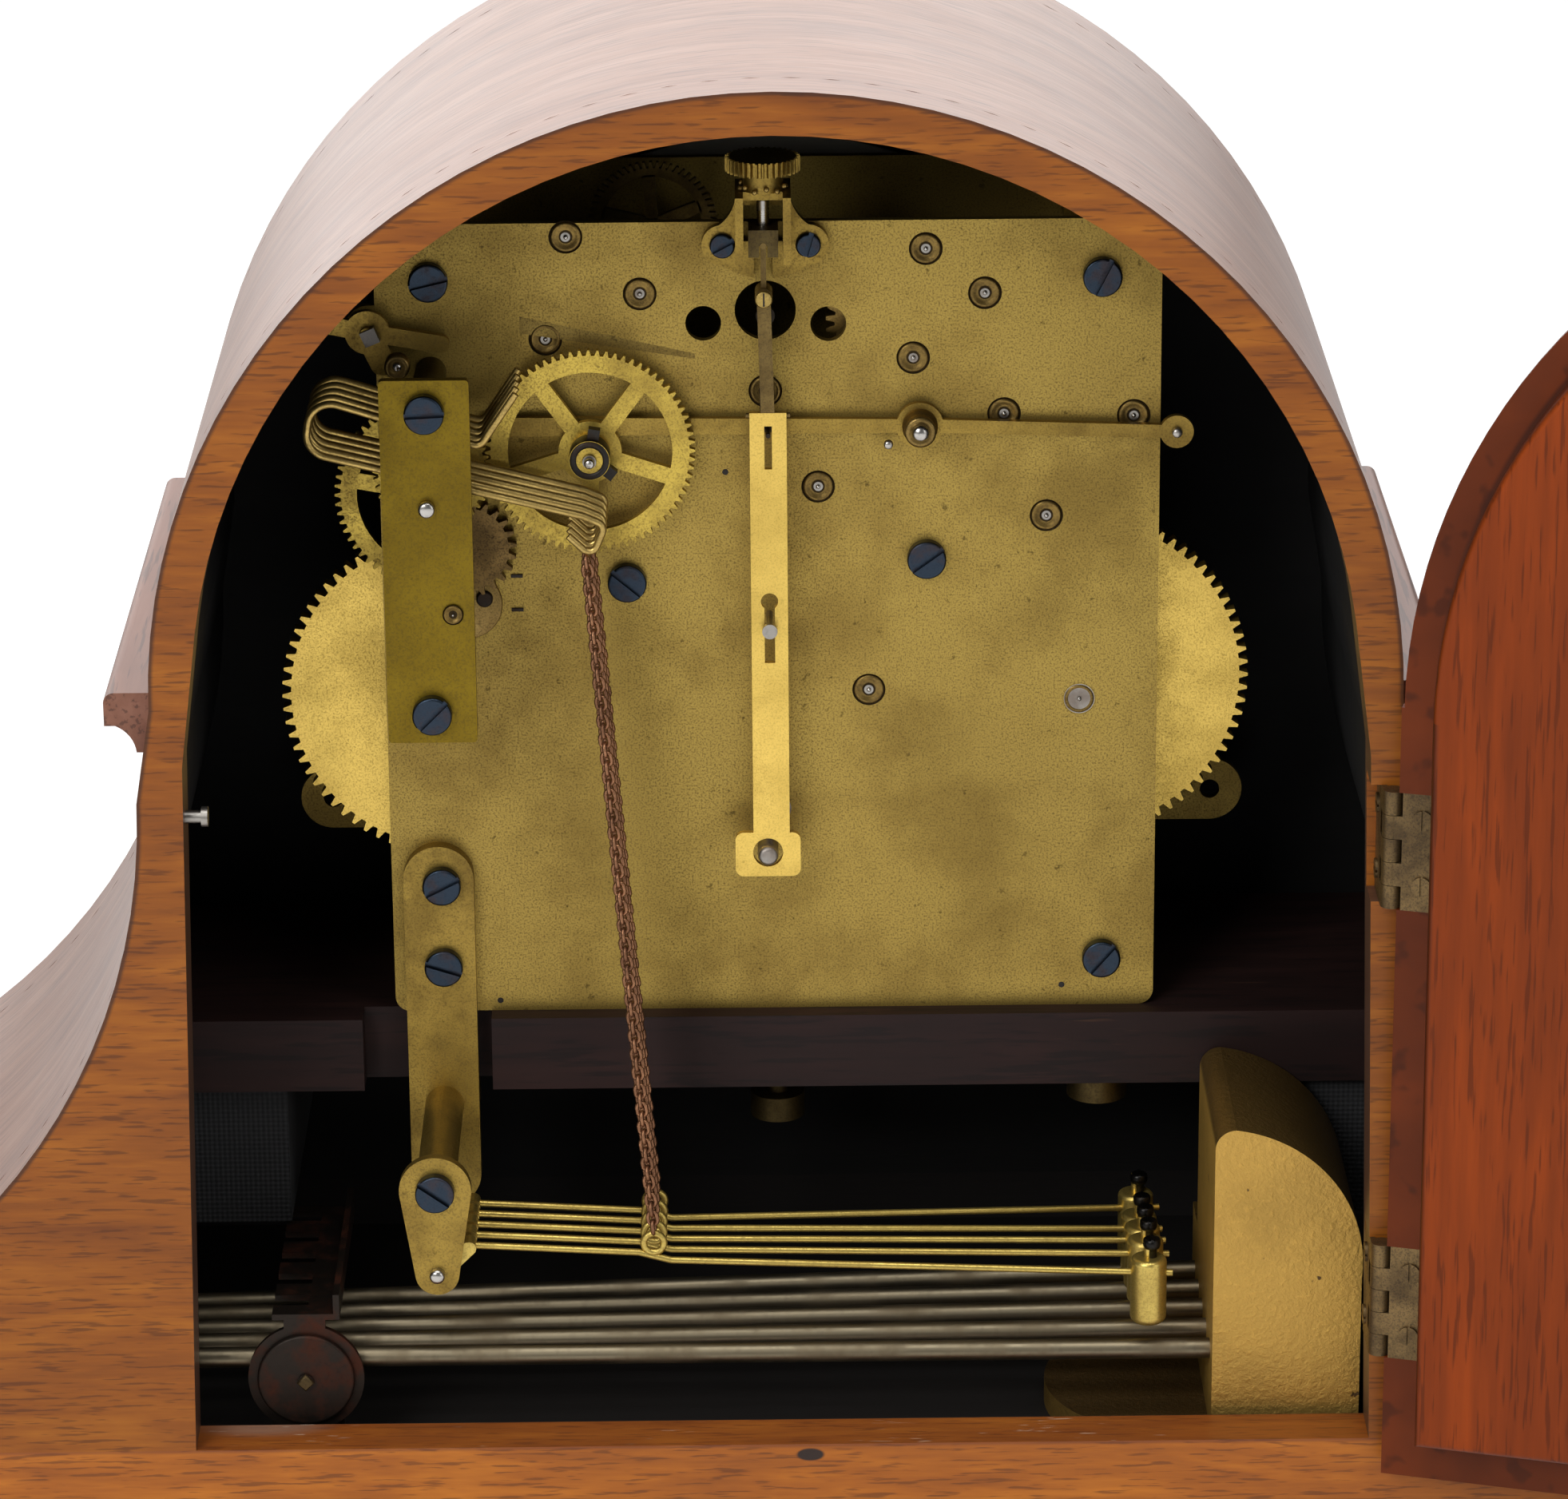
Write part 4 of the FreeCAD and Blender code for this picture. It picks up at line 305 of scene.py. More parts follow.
def plain_wood(name, colours, along, across=4.5, wear=None, coat=0.15, rough=0.42):
    paint = Paint(name)
    place = paint.place()
    figure, streaks, pores = grain(paint, place, along, across)
    colour = wood_colour(paint, figure, streaks, pores, *colours)
    blot = paint.noise(place, 22.0, 3.0, 0.6).between(0.4, 0.8)
    colour = paint.mix(blot * 0.3, colour, tone(colours[0], 0.7))
    if wear:
        marks = paint.noise(paint.scaled(place, (40.0, 900.0, 600.0)), 1.0, 2.0, 0.5).between(0.66, 0.74)
        spread = paint.noise(place, 45.0, 2.0, 0.5).between(0.5, 0.62)
        colour = paint.mix(marks * spread * 0.6, colour, wear)
    return wood_finish(paint, colour, rough + figure * 0.1, relief(streaks, pores), coat=coat)


def base_wood(name, colours):
    """The base: wood outside, black in the well, dusty along the sill, with a painted reflection of the
    ring's face darkening the sill's top to a deeper red.
    """
    paint = Paint(name)
    place = paint.place()
    x, y, z = paint.parts(place)
    figure, streaks, pores = grain(paint, place, (22.0, 95.0, 95.0), 5.5)
    colour = wood_colour(paint, figure, streaks, pores, *colours)
    # The sill's top is painted a deeper red, a painted reflection of the ring's face. Scrapes and dust lie on
    # it too.
    top = z.between(0.0245, 0.0252) * y.between(0.0585, 0.0592)
    scrape = paint.noise(paint.scaled(place, (160.0, 1400.0, 1400.0)), 1.0, 2.0, 0.5).between(0.66, 0.74)
    where = paint.noise(place, 38.0, 2.0, 0.5).between(0.5, 0.6)
    # The catch hole is painted dark: painted shade inside it.
    catch = ((x + 0.0053) * (x + 0.0053) + (z - 0.0232) * (z - 0.0232) * 4.0).root()
    hole = (1.0 - catch.between(0.0022, 0.0030)) * y.between(0.069, 0.0695)
    corner = ((x - 0.1) * (x - 0.1) + (y - 0.0600) * (y - 0.0600) * 9.0).root()
    dust = (1.0 - corner.between(0.004, 0.016)) * top
    inner = (1.0 - abs(x).between(0.1510, 0.1520)) * (1.0 - abs(y).between(0.05905, 0.0592))
    inner = inner * z.between(0.012, 0.014)
    colour = paint.layers(
        colour, (top * 0.5, (0.115, 0.026, 0.012)), (scrape * where * top * 0.7, (0.50, 0.36, 0.26)),
        (hole, (0.02, 0.008, 0.004)), (dust * 0.35, (0.30, 0.24, 0.19)), (inner, (0.010, 0.008, 0.007)))
    rough = 0.42 + inner * 0.35 + figure * 0.08
    return wood_finish(paint, colour, rough, relief(streaks, pores), coat=(1.0 - inner) * 0.14)


def door_wood(name, lip_colours, panel_colours):
    """The back door: a redder lip, an upright-grained panel and painted shade as a dark line in the groove
    between them.
    """
    paint = Paint(name)
    place = paint.place()
    shut = paint.add(
        "ShaderNodeVectorRotate",
        {"rotation_type": "Z_AXIS"},
        {"Vector": place, "Center": DOOR_PIN, "Angle": -DOOR_ANGLE},
    )
    x, z = paint.parts(shut)[::2]
    pz = z - ARCH_HEIGHT
    px = abs(x)
    high = pz > 0.0
    arch = (px * px + pz * pz).root() - PANEL_RADIUS
    side = (px - PANEL_HALF).most(PANEL_FOOT - z)
    outside = arch * high + side * (1.0 - high)
    figure, streaks, pores = grain(paint, shut, (90.0, 90.0, 12.0), 4.6)
    panel = wood_colour(paint, figure, streaks, pores, *panel_colours)
    figure2, streaks2, pores2 = grain(paint, shut, (26.0, 90.0, 26.0), 3.0)
    lip = wood_colour(paint, figure2, streaks2, pores2, *lip_colours)
    # Painted shade: a dark line along the step between lip and panel.
    groove_shade = 1.0 - abs(outside - 0.0002).between(0.0002, 0.0012)
    shade = paint.noise(shut, 11.0, 2.0, 0.5).between(0.35, 0.7)
    colour = paint.layers(
        panel, (outside.between(-0.0002, 0.0002), lip), (groove_shade * 0.75, (0.030, 0.008, 0.004)),
        (shade * 0.28, tone(panel_colours[0], 0.75)))
    rough = 0.40 + figure * 0.1
    return wood_finish(paint, colour, rough, relief(streaks, pores), (0.10, 0.0005), 0.04, 0.22, 0.15)


# Metals

def brass(name, colour, stain, stain_amount=0.5, rough=0.34, scale=60.0, speckle=0.4, brushed=None,
          shade_behind=None):
    """Brass with cloudy tarnish, specks and fine scratches, and painted shade darkening it behind a depth if
    one is given.
    """
    paint = Paint(name)
    place = paint.place()
    cloud = paint.noise(place, scale, 5.0, 0.62).between(0.38, 0.68)
    broad = paint.noise(place, scale * 0.22, 3.0, 0.55).between(0.38, 0.68)
    specks = paint.noise(place, 2600.0, 2.0, 0.7).between(0.44, 0.68)
    dirt = paint.noise(place, 420.0, 3.0, 0.6).between(0.66, 0.74)
    base = paint.layers(
        colour, (cloud * stain_amount * 0.7, stain), (broad * stain_amount * 0.45, tone(stain, 0.8)),
        (specks * speckle, tone(stain, 0.6)), (dirt * speckle, tone(stain, 0.3)))
    # Painted shade: everything lying behind the given depth is darkened.
    if shade_behind:
        depth = paint.parts(place)[1].between(shade_behind - 0.001, shade_behind)
        base = paint.mix(1.0 - depth, base, tone(stain, 0.35))
    lines = brushed or (420.0, 420.0, 420.0)
    scratch = paint.noise(paint.scaled(place, lines), 1.0, 2.0, 0.5)
    roughness = rough + cloud * 0.12 + specks * 0.12 + scratch * 0.06
    return paint.finish({
        "Base Color": base,
        "Metallic": 0.92 - specks * speckle * 0.4,
        "Roughness": roughness,
        "Normal": paint.bump(scratch * 0.5 + specks * 0.5, 0.10, 0.0002),
    })


def steel(name, colour, rust, rust_amount=0.3, rough=0.3, scale=120.0, metallic=1.0):
    paint = Paint(name)
    place = paint.place()
    cloud = paint.noise(place, scale, 4.0, 0.6).between(0.45, 0.7)
    fine = paint.noise(place, scale * 9.0, 2.0, 0.5)
    base = paint.mix(cloud * rust_amount, colour, rust)
    base = paint.mix(fine.between(0.5, 0.75) * 0.3, base, tone(colour, 0.55))
    return paint.finish({
        "Base Color": base,
        "Metallic": metallic,
        "Roughness": rough + cloud * 0.2 + fine * 0.08,
        "Normal": paint.bump(fine, 0.08, 0.0002),
    })


def gong_paint(name, colour, bare):
    paint = Paint(name)
    place = paint.place()
    z = paint.parts(place)[2]
    lumps = paint.noise(place, 700.0, 4.0, 0.7)
    cloud = paint.noise(place, 55.0, 4.0, 0.6).between(0.4, 0.7)
    chips = paint.noise(place, 330.0, 2.0, 0.55).between(0.72, 0.76)
    # Painted shade: faces turned upwards are darkened, as no light reaches them inside the case. The block is
    # also darker towards its bottom.
    up = paint.normal()[2].between(-0.05, 0.35)
    floor = 1.0 - z.between(0.019, 0.030)
    shade = paint.layers(
        colour, (cloud * 0.4, tone(colour, 0.55)), (lumps.between(0.5, 0.7) * 0.35, tone(colour, 1.35)),
        (chips, bare), (up * 0.85, (0.085, 0.048, 0.014)), (floor * 0.5, (0.05, 0.03, 0.015)))
    return paint.finish({
        "Base Color": shade,
        "Metallic": 0.72,
        "Roughness": 0.40 + lumps * 0.18,
        "Normal": paint.bump(lumps, 0.6, 0.0007),
    })


def cloth(name, colour):
    paint = Paint(name)
    place = paint.place()
    warp = paint.add("ShaderNodeTexWave", {"bands_direction": "X"}, {"Vector": place, "Scale": 320.0})
    weft = paint.add("ShaderNodeTexWave", {"bands_direction": "Z"}, {"Vector": place, "Scale": 320.0})
    fuzz = paint.noise(place, 700.0, 2.0, 0.6)
    weave = warp * 0.5 + weft * 0.5
    shade = paint.mix(weave * 0.5 + fuzz * 0.3, tone(colour, 0.5), tone(colour, 1.8))
    return paint.finish({
        "Base Color": shade,
        "Roughness": 0.85 + fuzz * 0.1,
        "Normal": paint.bump(weave, 0.4, 0.0005),
    })


def dial_paint(name, colour):
    paint = Paint(name)
    place = paint.place()
    cloud = paint.noise(place, 30.0, 4.0, 0.6).between(0.45, 0.75)
    fox = paint.noise(place, 240.0, 3.0, 0.6).between(0.66, 0.75)
    shade = paint.mix(cloud * 0.22, colour, tone(colour, 0.78))
    shade = paint.mix(fox * 0.25, shade, (0.40, 0.28, 0.15))
    return paint.finish({"Base Color": shade, "Metallic": 0.15, "Roughness": 0.38 + cloud * 0.1})


def clear_glass(name):
    paint = Paint(name)
    streak = paint.noise(paint.place(), 40.0, 3.0, 0.6)
    return paint.finish({
        "Base Color": (0.96, 0.98, 0.97),
        "Roughness": 0.02 + streak * 0.05,
        "Transmission Weight": 1.0,
        "IOR": 1.45,
    })


def dress(names, material):
    """Gives the named nodes one material."""
    for name in names:
        node = NODES[name]
        if not node.material_slots:
            node.data.materials.append(material)
        for slot in node.material_slots:
            slot.link = "OBJECT"
            slot.material = material


# Mesh helpers

def placed(name, data):
    """Puts a new object with the given data into the scene."""
    thing = bpy.data.objects.new(name, data)
    bpy.context.scene.collection.objects.link(thing)
    return thing


def new_piece(name, form, material, body, replaced=()):
    """Makes an object from a form or a finished mesh and lets it ride on a body."""
    mesh = form if isinstance(form, bpy.types.Mesh) else mesh_of(name, form)
    piece = placed(name, mesh)
    mesh.materials.append(material)
    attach(piece, body)
    if replaced:
        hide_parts(*replaced)


def mesh_of(name, form):
    mesh = bpy.data.meshes.new(name)
    form.to_mesh(mesh)
    form.free()
    return mesh


def rise(height):
    """A height counted from the centre of the arch."""
    return ARCH_HEIGHT + height


def circle(count):
    """Directions (cosine, sine) spread evenly round a circle."""
    angles = [2 * math.pi * step / count for step in range(count)]
    return [(math.cos(angle), math.sin(angle)) for angle in angles]


def skin(form, pairs, smooth=True):
    """Adds the faces between the two rings of each pair."""
    for here, after in pairs:
        for step in range(len(here)):
            turn = (step + 1) % len(here)
            form.faces.new((here[step], here[turn], after[turn], after[step])).smooth = smooth


def link_points(length, width, around):
    """The centre line of one chain link: two straight sides and two round ends."""
    radius = width / 2
    straight = length / 2 - radius
    ends = [(c, s, straight if c >= 0 else -straight) for c, s in circle(around)]
    return [Vector((end + radius * c, radius * s, 0.0)) for c, s, end in ends]


def sweep_ring(form, points, radius, sides, place):
    """Adds a closed tube along the points to the form."""
    flat = Vector((0.0, 0.0, 1.0))
    rings = []
    for index, point in enumerate(points):
        out = (points[(index + 1) % len(points)] - points[index - 1]).normalized().cross(flat)
        spots = [point + (out * c + flat * s) * radius for c, s in circle(sides)]
        rings.append([form.verts.new(place @ spot) for spot in spots])
    skin(form, zip(rings, rings[1:] + rings[:1]))


def turned(form, x, z, outline, sides=32, depth=0.0):
    """Adds a round piece about an axis along Y; the outline is (radius, y from the depth), rim first."""
    rings = [[form.verts.new((x + radius * c, depth + y, z + radius * s)) for c, s in circle(sides)]
             for radius, y in outline]
    skin(form, zip(rings, rings[1:]))
    form.faces.new(rings[-1])


def round_piece(name, material, body, x, z, outline, sides=32, depth=0.0):
    form = bmesh.new()
    turned(form, x, z, outline, sides, depth)
    new_piece(name, form, material, body)


def upright(form, x, y, outline, sides=24):
    """Adds a round piece about an upright axis; the outline is (radius, z)."""
    part = bmesh.new()
    turned(part, 0.0, 0.0, outline, sides)
    for vertex in part.verts:
        vertex.co = Vector((x + vertex.co.x, y + vertex.co.z, vertex.co.y))
    bmesh.ops.recalc_face_normals(part, faces=part.faces)
    mesh = mesh_of("upright", part)
    form.from_mesh(mesh)
    bpy.data.meshes.remove(mesh)


def dome(radius, y, height):
    """The outline of a round pin end."""
    shares = ((1.0, 0.0), (0.92, 0.45), (0.7, 0.75), (0.4, 0.93), (0.12, 1.0))
    return [(radius, y - height)] + [(radius * a, y + height * b) for a, b in shares]


def slab(form, corners, y0, y1):
    """Adds a flat plate between two depths; corners are (x, z) going round."""
    low = [form.verts.new((x, y0, z)) for x, z in corners]
    high = [form.verts.new((x, y1, z)) for x, z in corners]
    form.faces.new(low)
    form.faces.new(high[::-1])
    for index in range(len(corners)):
        after = (index + 1) % len(corners)
        form.faces.new((low[index], high[index], high[after], low[after]))


def block(form, x0, x1, z0, z1, y0, y1):
    slab(form, [(x0, z0), (x1, z0), (x1, z1), (x0, z1)], y0, y1)


def toothed(form, x, z, outer, root, inner, teeth, y0, y1, arms):
    """Adds a toothed rim with straight arms."""
    rim = [(2 * math.pi * (index + share) / teeth, radius) for index in range(teeth)
           for share, radius in ((0.0, root), (0.2, outer), (0.5, outer), (0.7, root))]
    hole = [(angle, inner) for angle, radius in rim]
    lanes = [[form.verts.new((x + reach * math.cos(angle), y, z + reach * math.sin(angle)))
              for angle, reach in lane] for lane, y in ((hole, y0), (rim, y0), (rim, y1), (hole, y1))]
    skin(form, zip(lanes, lanes[1:] + lanes[:1]), False)
    for index in range(arms):
        angle = 2 * math.pi * (index + 0.2) / arms
        way = Vector((math.cos(angle), math.sin(angle)))
        side = Vector((-way.y, way.x)) * 0.0012
        centre = Vector((x, z))
        far = centre + way * inner * 1.04
        slab(form, [tuple(p) for p in (centre - side, far - side, far + side, centre + side)], y0, y1)


class CaseSettings(bpy.types.PropertyGroup):
    dark: FloatVectorProperty(
        name="Dark grain", description="Darkest tone of the case wood", subtype="COLOR",
        default=(0.135, 0.034, 0.0030))
    middle: FloatVectorProperty(
        name="Middle grain", description="Main tone of the case wood", subtype="COLOR",
        default=(0.262, 0.074, 0.0045))
    light: FloatVectorProperty(
        name="Light grain", description="Lightest tone of the case wood", subtype="COLOR",
        default=(0.420, 0.138, 0.010))


class DoorSettings(bpy.types.PropertyGroup):
    lip: FloatVectorProperty(
        name="Lip", description="Main tone of the door's lip", subtype="COLOR", default=(0.120, 0.021, 0.002))
    panel: FloatVectorProperty(
        name="Panel", description="Main tone of the door's panel", subtype="COLOR",
        default=(0.225, 0.036, 0.0022))


class MovementSettings(bpy.types.PropertyGroup):
    plate: FloatVectorProperty(
        name="Plate brass", description="Colour of the plates", subtype="COLOR", default=(0.43, 0.30, 0.070))
    bright: FloatVectorProperty(
        name="Bright brass", description="Colour of wheels and the pendulum strip", subtype="COLOR",
        default=(0.78, 0.54, 0.125))
    blue: FloatVectorProperty(
        name="Blued steel", description="Colour of the screws", subtype="COLOR",
        default=(0.030, 0.042, 0.060))


class ChainSettings(bpy.types.PropertyGroup):
    link_length: FloatProperty(
        name="Link length", description="Outer length of a link", unit="LENGTH", default=0.0034, min=0.001)
    link_width: FloatProperty(
        name="Link width", description="Width between a link's wire centres", unit="LENGTH", default=0.0019,
        min=0.0005)
    link_wire: FloatProperty(
        name="Link wire", description="Radius of a link's wire", unit="LENGTH", default=0.00042, min=0.0001)
    pitch: FloatProperty(
        name="Pitch", description="Distance from link to link", unit="LENGTH", default=0.0018, min=0.0005)


class DialSettings(bpy.types.PropertyGroup):
    number_radius: FloatProperty(
        name="Number circle", description="Radius on which the numbers stand", unit="LENGTH", default=0.0515)
    number_height: FloatProperty(
        name="Number height", description="Height of a number", unit="LENGTH", default=0.0135)
    track_radius: FloatProperty(
        name="Minute track", description="Radius of the minute track", unit="LENGTH", default=0.0635)


class StageSettings(bpy.types.PropertyGroup):
    key_power: FloatProperty(name="Key light", description="Power of the key light", default=12.0)
    top_power: FloatProperty(name="Top light", description="Power of the top light", default=14.0)
    fill_power: FloatProperty(name="Fill light", description="Power of the fill light", default=3.5)
    wall_power: FloatProperty(
        name="Back light", description="Power of the broad light behind", default=52.0)
    sky: FloatProperty(name="Sky", description="Strength of the even light", default=0.20)


class CLOCK_OT_case(bpy.types.Operator):
    """Finish the case boards, shell, mouldings and base in wood"""
    bl_idname = "clock.case"
    bl_label = "Case"

    def execute(self, context):
        s = context.scene.clock_case
        colours = (tuple(s.dark), tuple(s.middle), tuple(s.light))
        # Painted sheen: pale greyish pink tones for the case's surfaces other than its flat faces.
        painted_sheen_tones = ((0.150, 0.056, 0.031), (0.262, 0.115, 0.064), (0.365, 0.184, 0.117))
        wood = case_wood("case_mahogany", colours, painted_sheen_tones)
        dress(["front_board", "back_board", "case_shell"], wood)
        red = tuple(tone(c, g) for c, g in zip(colours, (1.38, 1.42, 1.42)))
        dress(["base_plinth"], base_wood("base_mahogany", red))
        # Pale greyish pink tones: the moulding's wood with a painted sheen of the white surroundings on its
        # top.
        moulding_sheen_tones = ((0.095, 0.030, 0.016), (0.190, 0.074, 0.042), (0.280, 0.125, 0.080))
        dress(["impost_mouldings"], plain_wood("moulding_mahogany", moulding_sheen_tones, (70.0, 9.0, 70.0)))
        seat = ((0.007, 0.0025, 0.002), (0.016, 0.005, 0.004), (0.034, 0.012, 0.009))
        worn = (0.07, 0.03, 0.015)
        stained = plain_wood("seat_stained_wood", seat, (11.0, 60.0, 60.0), 4.0, worn, 0.0, 0.6)
        dress(["seat_board"], stained)
        dress(["seat_cleats"], cloth("cleat_cloth", (0.018, 0.018, 0.019)))
        return {"FINISHED"}


class CLOCK_OT_door(bpy.types.Operator):
    """Finish the back door and both hinges"""
    bl_idname = "clock.door"
    bl_label = "Back door"

    def execute(self, context):
        s = context.scene.clock_door
        lip = (tone(s.lip, 0.55), tuple(s.lip), tone(s.lip, 1.6))
        panel = (tone(s.panel, 0.62), tuple(s.panel), tone(s.panel, 1.55))
        dress(["back_door"], door_wood("door_mahogany", lip, panel))
        hinge = brass("hinge_brass", (0.20, 0.13, 0.055), (0.050, 0.033, 0.020), 0.85, 0.38, 150.0, 0.5)
        dress(["case_hinges", "door_hinges", "bezel_hinge"], hinge)
        return {"FINISHED"}


class CLOCK_OT_movement(bpy.types.Operator):
    """Finish the plates, bridge, brackets, levers, pillars, screws and arbors"""
    bl_idname = "clock.movement"
    bl_label = "Movement"

    def execute(self, context):
        s = context.scene.clock_movement
        plate = tuple(s.plate)
        patina = brass("plate_brass", plate, (0.17, 0.10, 0.022), 0.6, 0.40, 34.0, 0.55)
        dress(["back_plate", "front_plate"], patina)
        # The bridge's posts, more than 3 mm behind its top face, get painted shade.
        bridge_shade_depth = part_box("drum_bridge")[1].y - 0.003
        bridge = brass("bridge_brass", (0.225, 0.150, 0.012), (0.12, 0.075, 0.009), 0.6, 0.34, 60.0, 0.32,
                       (900.0, 900.0, 70.0), bridge_shade_depth)
        dress(["drum_bridge"], bridge)
        old = brass("bracket_brass", (0.36, 0.24, 0.05), (0.12, 0.07, 0.018), 0.6, 0.34, 90.0, 0.35)
        dress(["suspension_bracket", "hammer_bracket", "long_lever", "three_arm_lever", "plate_pillars",
               "rate_nut", "link_plate"], old)
        dull = brass("dull_brass", (0.12, 0.085, 0.03), (0.05, 0.03, 0.012), 0.6, 0.4, 200.0, 0.4)
        dress(["suspension_block", "seat_bolts"], dull)
        lit = brass("polished_brass", tuple(s.bright), (0.42, 0.28, 0.05), 0.35, 0.28, 80.0, 0.22)
        dress(["pendulum_strip"], lit)
        blue = steel("blued_steel", tuple(s.blue), (0.10, 0.06, 0.05), 0.35, 0.30, 260.0)
        dress(["movement_screws"], blue)
        grey = steel("grey_steel", (0.33, 0.31, 0.28), (0.17, 0.10, 0.06), 0.45, 0.32)
        dress(["steel_arbors", "latch_pin"], grey)
        rod = brass("rod_brass", (0.20, 0.135, 0.045), (0.09, 0.055, 0.02), 0.6, 0.36, 260.0, 0.35)
        dress(["suspension_rod"], rod)
        dress(["crutch"], steel("crutch_steel", (0.035, 0.028, 0.022), (0.06, 0.035, 0.02), 0.5, 0.4, 200.0))
        return {"FINISHED"}


class CLOCK_OT_wheels(bpy.types.Operator):
    """Finish the toothed wheels and the drum"""
    bl_idname = "clock.wheels"
    bl_label = "Wheels"

    def execute(self, context):
        s = context.scene.clock_movement
        bright = brass("wheel_brass", tuple(s.bright), (0.46, 0.30, 0.05), 0.35, 0.28, 46.0, 0.22)
        dress(["chime_great_wheel", "strike_great_wheel", "time_great_wheel"], bright)
        open_wheel = brass("spoked_brass", (0.60, 0.43, 0.08), (0.24, 0.15, 0.035), 0.6, 0.31, 120.0, 0.4)
        dress(["spoked_wheel", "chime_second_wheel", "chime_drum"], open_wheel)
        idler = brass("idler_brass", (0.24, 0.15, 0.05), (0.08, 0.05, 0.02), 0.7, 0.38, 150.0, 0.5)
        dress(["idler_gear"], idler)
        return {"FINISHED"}


class CLOCK_OT_details(bpy.types.Operator):
    """Add the pivot sinks, pin ends, bosses, set screws and the wheels seen inside the movement"""
    bl_idname = "clock.details"
    bl_label = "Small pieces of the movement"

    def execute(self, context):
        plate_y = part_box("back_plate")[1].y
        ring_brass = brass("sink_brass", (0.24, 0.155, 0.042), (0.05, 0.03, 0.012), 0.6, 0.30, 300.0, 0.3)
        sink_shade_brass = brass("sink_shadow", (0.05, 0.032, 0.012), (0.02, 0.012, 0.006), 0.6, 0.5, 300.0, 0.3)
        pin_steel = steel("pin_steel", (0.46, 0.44, 0.41), (0.22, 0.17, 0.12), 0.3, 0.2)
        worn_steel = steel("worn_steel", (0.115, 0.105, 0.095), (0.09, 0.055, 0.03), 0.4, 0.34, 240.0, 0.9)
        dark_steel = steel("dark_steel", (0.03, 0.027, 0.024), (0.06, 0.035, 0.02), 0.5, 0.34, 240.0, 0.9)
        rings = bmesh.new()
        shadows = bmesh.new()
        pins = bmesh.new()
        for x, z in SINKS:
            self.sink(rings, shadows, pins, x, rise(z), plate_y, 1.0)
        bridge_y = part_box("drum_bridge")[1].y
        self.sink(rings, shadows, pins, 0.0604, rise(0.0075), bridge_y + 0.0004, 0.62)
        new_piece("pivot_rings", rings, ring_brass, "case")
        # Dark rings of painted shade in the pivot sinks.
        new_piece("pivot_hollows", shadows, sink_shade_brass, "case")
        turned(pins, -0.022, rise(0.0326), dome(0.0009, plate_y + 0.0034, 0.0005), 20)
        turned(pins, LEVER_AXIS[0], rise(LEVER_AXIS[1]), dome(0.0017, plate_y + 0.0078, 0.0011), 24)
        turned(pins, SPOKED_AXIS[0], rise(SPOKED_AXIS[1]), dome(0.0010, plate_y + 0.0132, 0.0006), 24)
        low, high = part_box("link_plate")
        turned(pins, (low.x + high.x) / 2, low.z + 0.0042, dome(0.0015, high.y + 0.0009, 0.0009), 24)
        new_piece("pin_ends", pins, pin_steel, "case")
        for name, body, x, z, radius, y in (
                ("lever_pin", "long_lever_body", -0.0769, 0.0344, 0.0010, plate_y + 0.0034),
                ("arm_pin", "three_arm", 0.0708, 0.0498, 0.0009, plate_y + 0.0066),
                ("drum_pin", "drum", 0.0648, 0.0284, 0.00158, bridge_y + 0.0014)):
            round_piece(name, pin_steel, body, x, rise(z), dome(radius, y, 0.0006), 24)
        self.suspension(pin_steel, dark_steel)
        boss = brass("boss_brass", (0.26, 0.17, 0.05), (0.08, 0.05, 0.02), 0.6, 0.28, 200.0, 0.3)
        round_piece("lever_boss", boss, "case", LEVER_AXIS[0], rise(LEVER_AXIS[1]), [
            (0.0034, 0.0027), (0.0034, 0.0040), (0.0029, 0.0044), (0.0027, 0.0064),
            (0.0030, 0.0066), (0.0030, 0.0072), (0.0022, 0.0074), (0.0017, 0.0070)], depth=plate_y)
        round_piece("lever_ring", boss, "three_arm", 0.0708, rise(0.0496), [
            (0.0024, 0.0040), (0.0024, 0.0062), (0.0019, 0.0066), (0.0013, 0.0060)], depth=plate_y)
        form = bmesh.new()
        corners = [math.radians(angle) for angle in (22, 112, 202, 292)]
        slab(form, [(0.0758 + 0.0021 * math.cos(a), rise(0.0554) + 0.0021 * math.sin(a)) for a in corners],
             plate_y + 0.0040, plate_y + 0.0062)
        new_piece("lever_nut", form, worn_steel, "three_arm")
        self.collar(dark_steel)
        self.inner_wheels(ring_brass)
        self.clicks(dark_steel, plate_y)
        return {"FINISHED"}

    def sink(self, rings, shadows, pins, x, z, y, size):
        # The shadows form takes dark rings painted as the shade in each sink's hollow; the rings form takes
        # the brass rings.
        for form, sides, outline in (
                (shadows, 32, ((0.0032, 0.00005), (0.0030, -0.0002), (0.0010, -0.0003))),
                (rings, 32, ((0.0029, -0.0003), (0.0028, 0.0001), (0.0023, 0.0001), (0.0019, -0.0002),
                             (0.0013, -0.0002))),
                (shadows, 24, ((0.0013, -0.0001), (0.0012, -0.00012)))):
            turned(form, x, z, [(radius * size, lift) for radius, lift in outline], sides, y)
        turned(pins, x, z, dome(0.00045 * size, y + 0.0001, 0.0004), 20)

    def collar(self, material):
        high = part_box("spoked_wheel")[1]
        x = SPOKED_AXIS[0]
        z = rise(SPOKED_AXIS[1])
        form = bmesh.new()
        turned(form, x, z, [(0.0039, -0.0045), (0.0039, -0.0002), (0.0036, 0.0002), (0.0026, 0.0002),
                            (0.0022, -0.0008), (0.0011, -0.0008)], depth=high.y)
        for angle in (math.radians(100), math.radians(-142)):
            way = Vector((math.cos(angle), 0.0, math.sin(angle)))
            side = Vector((-way.z, 0.0, way.x)) * 0.0011
            start = Vector((x, 0.0, z)) + way * 0.0036
            end = start + way * 0.0022
            slab(form, [(p.x, p.z) for p in (start - side, end - side, end + side, start + side)],
                 high.y - 0.0034, high.y - 0.0012)
        new_piece("spoked_collar", form, material, "spoked")

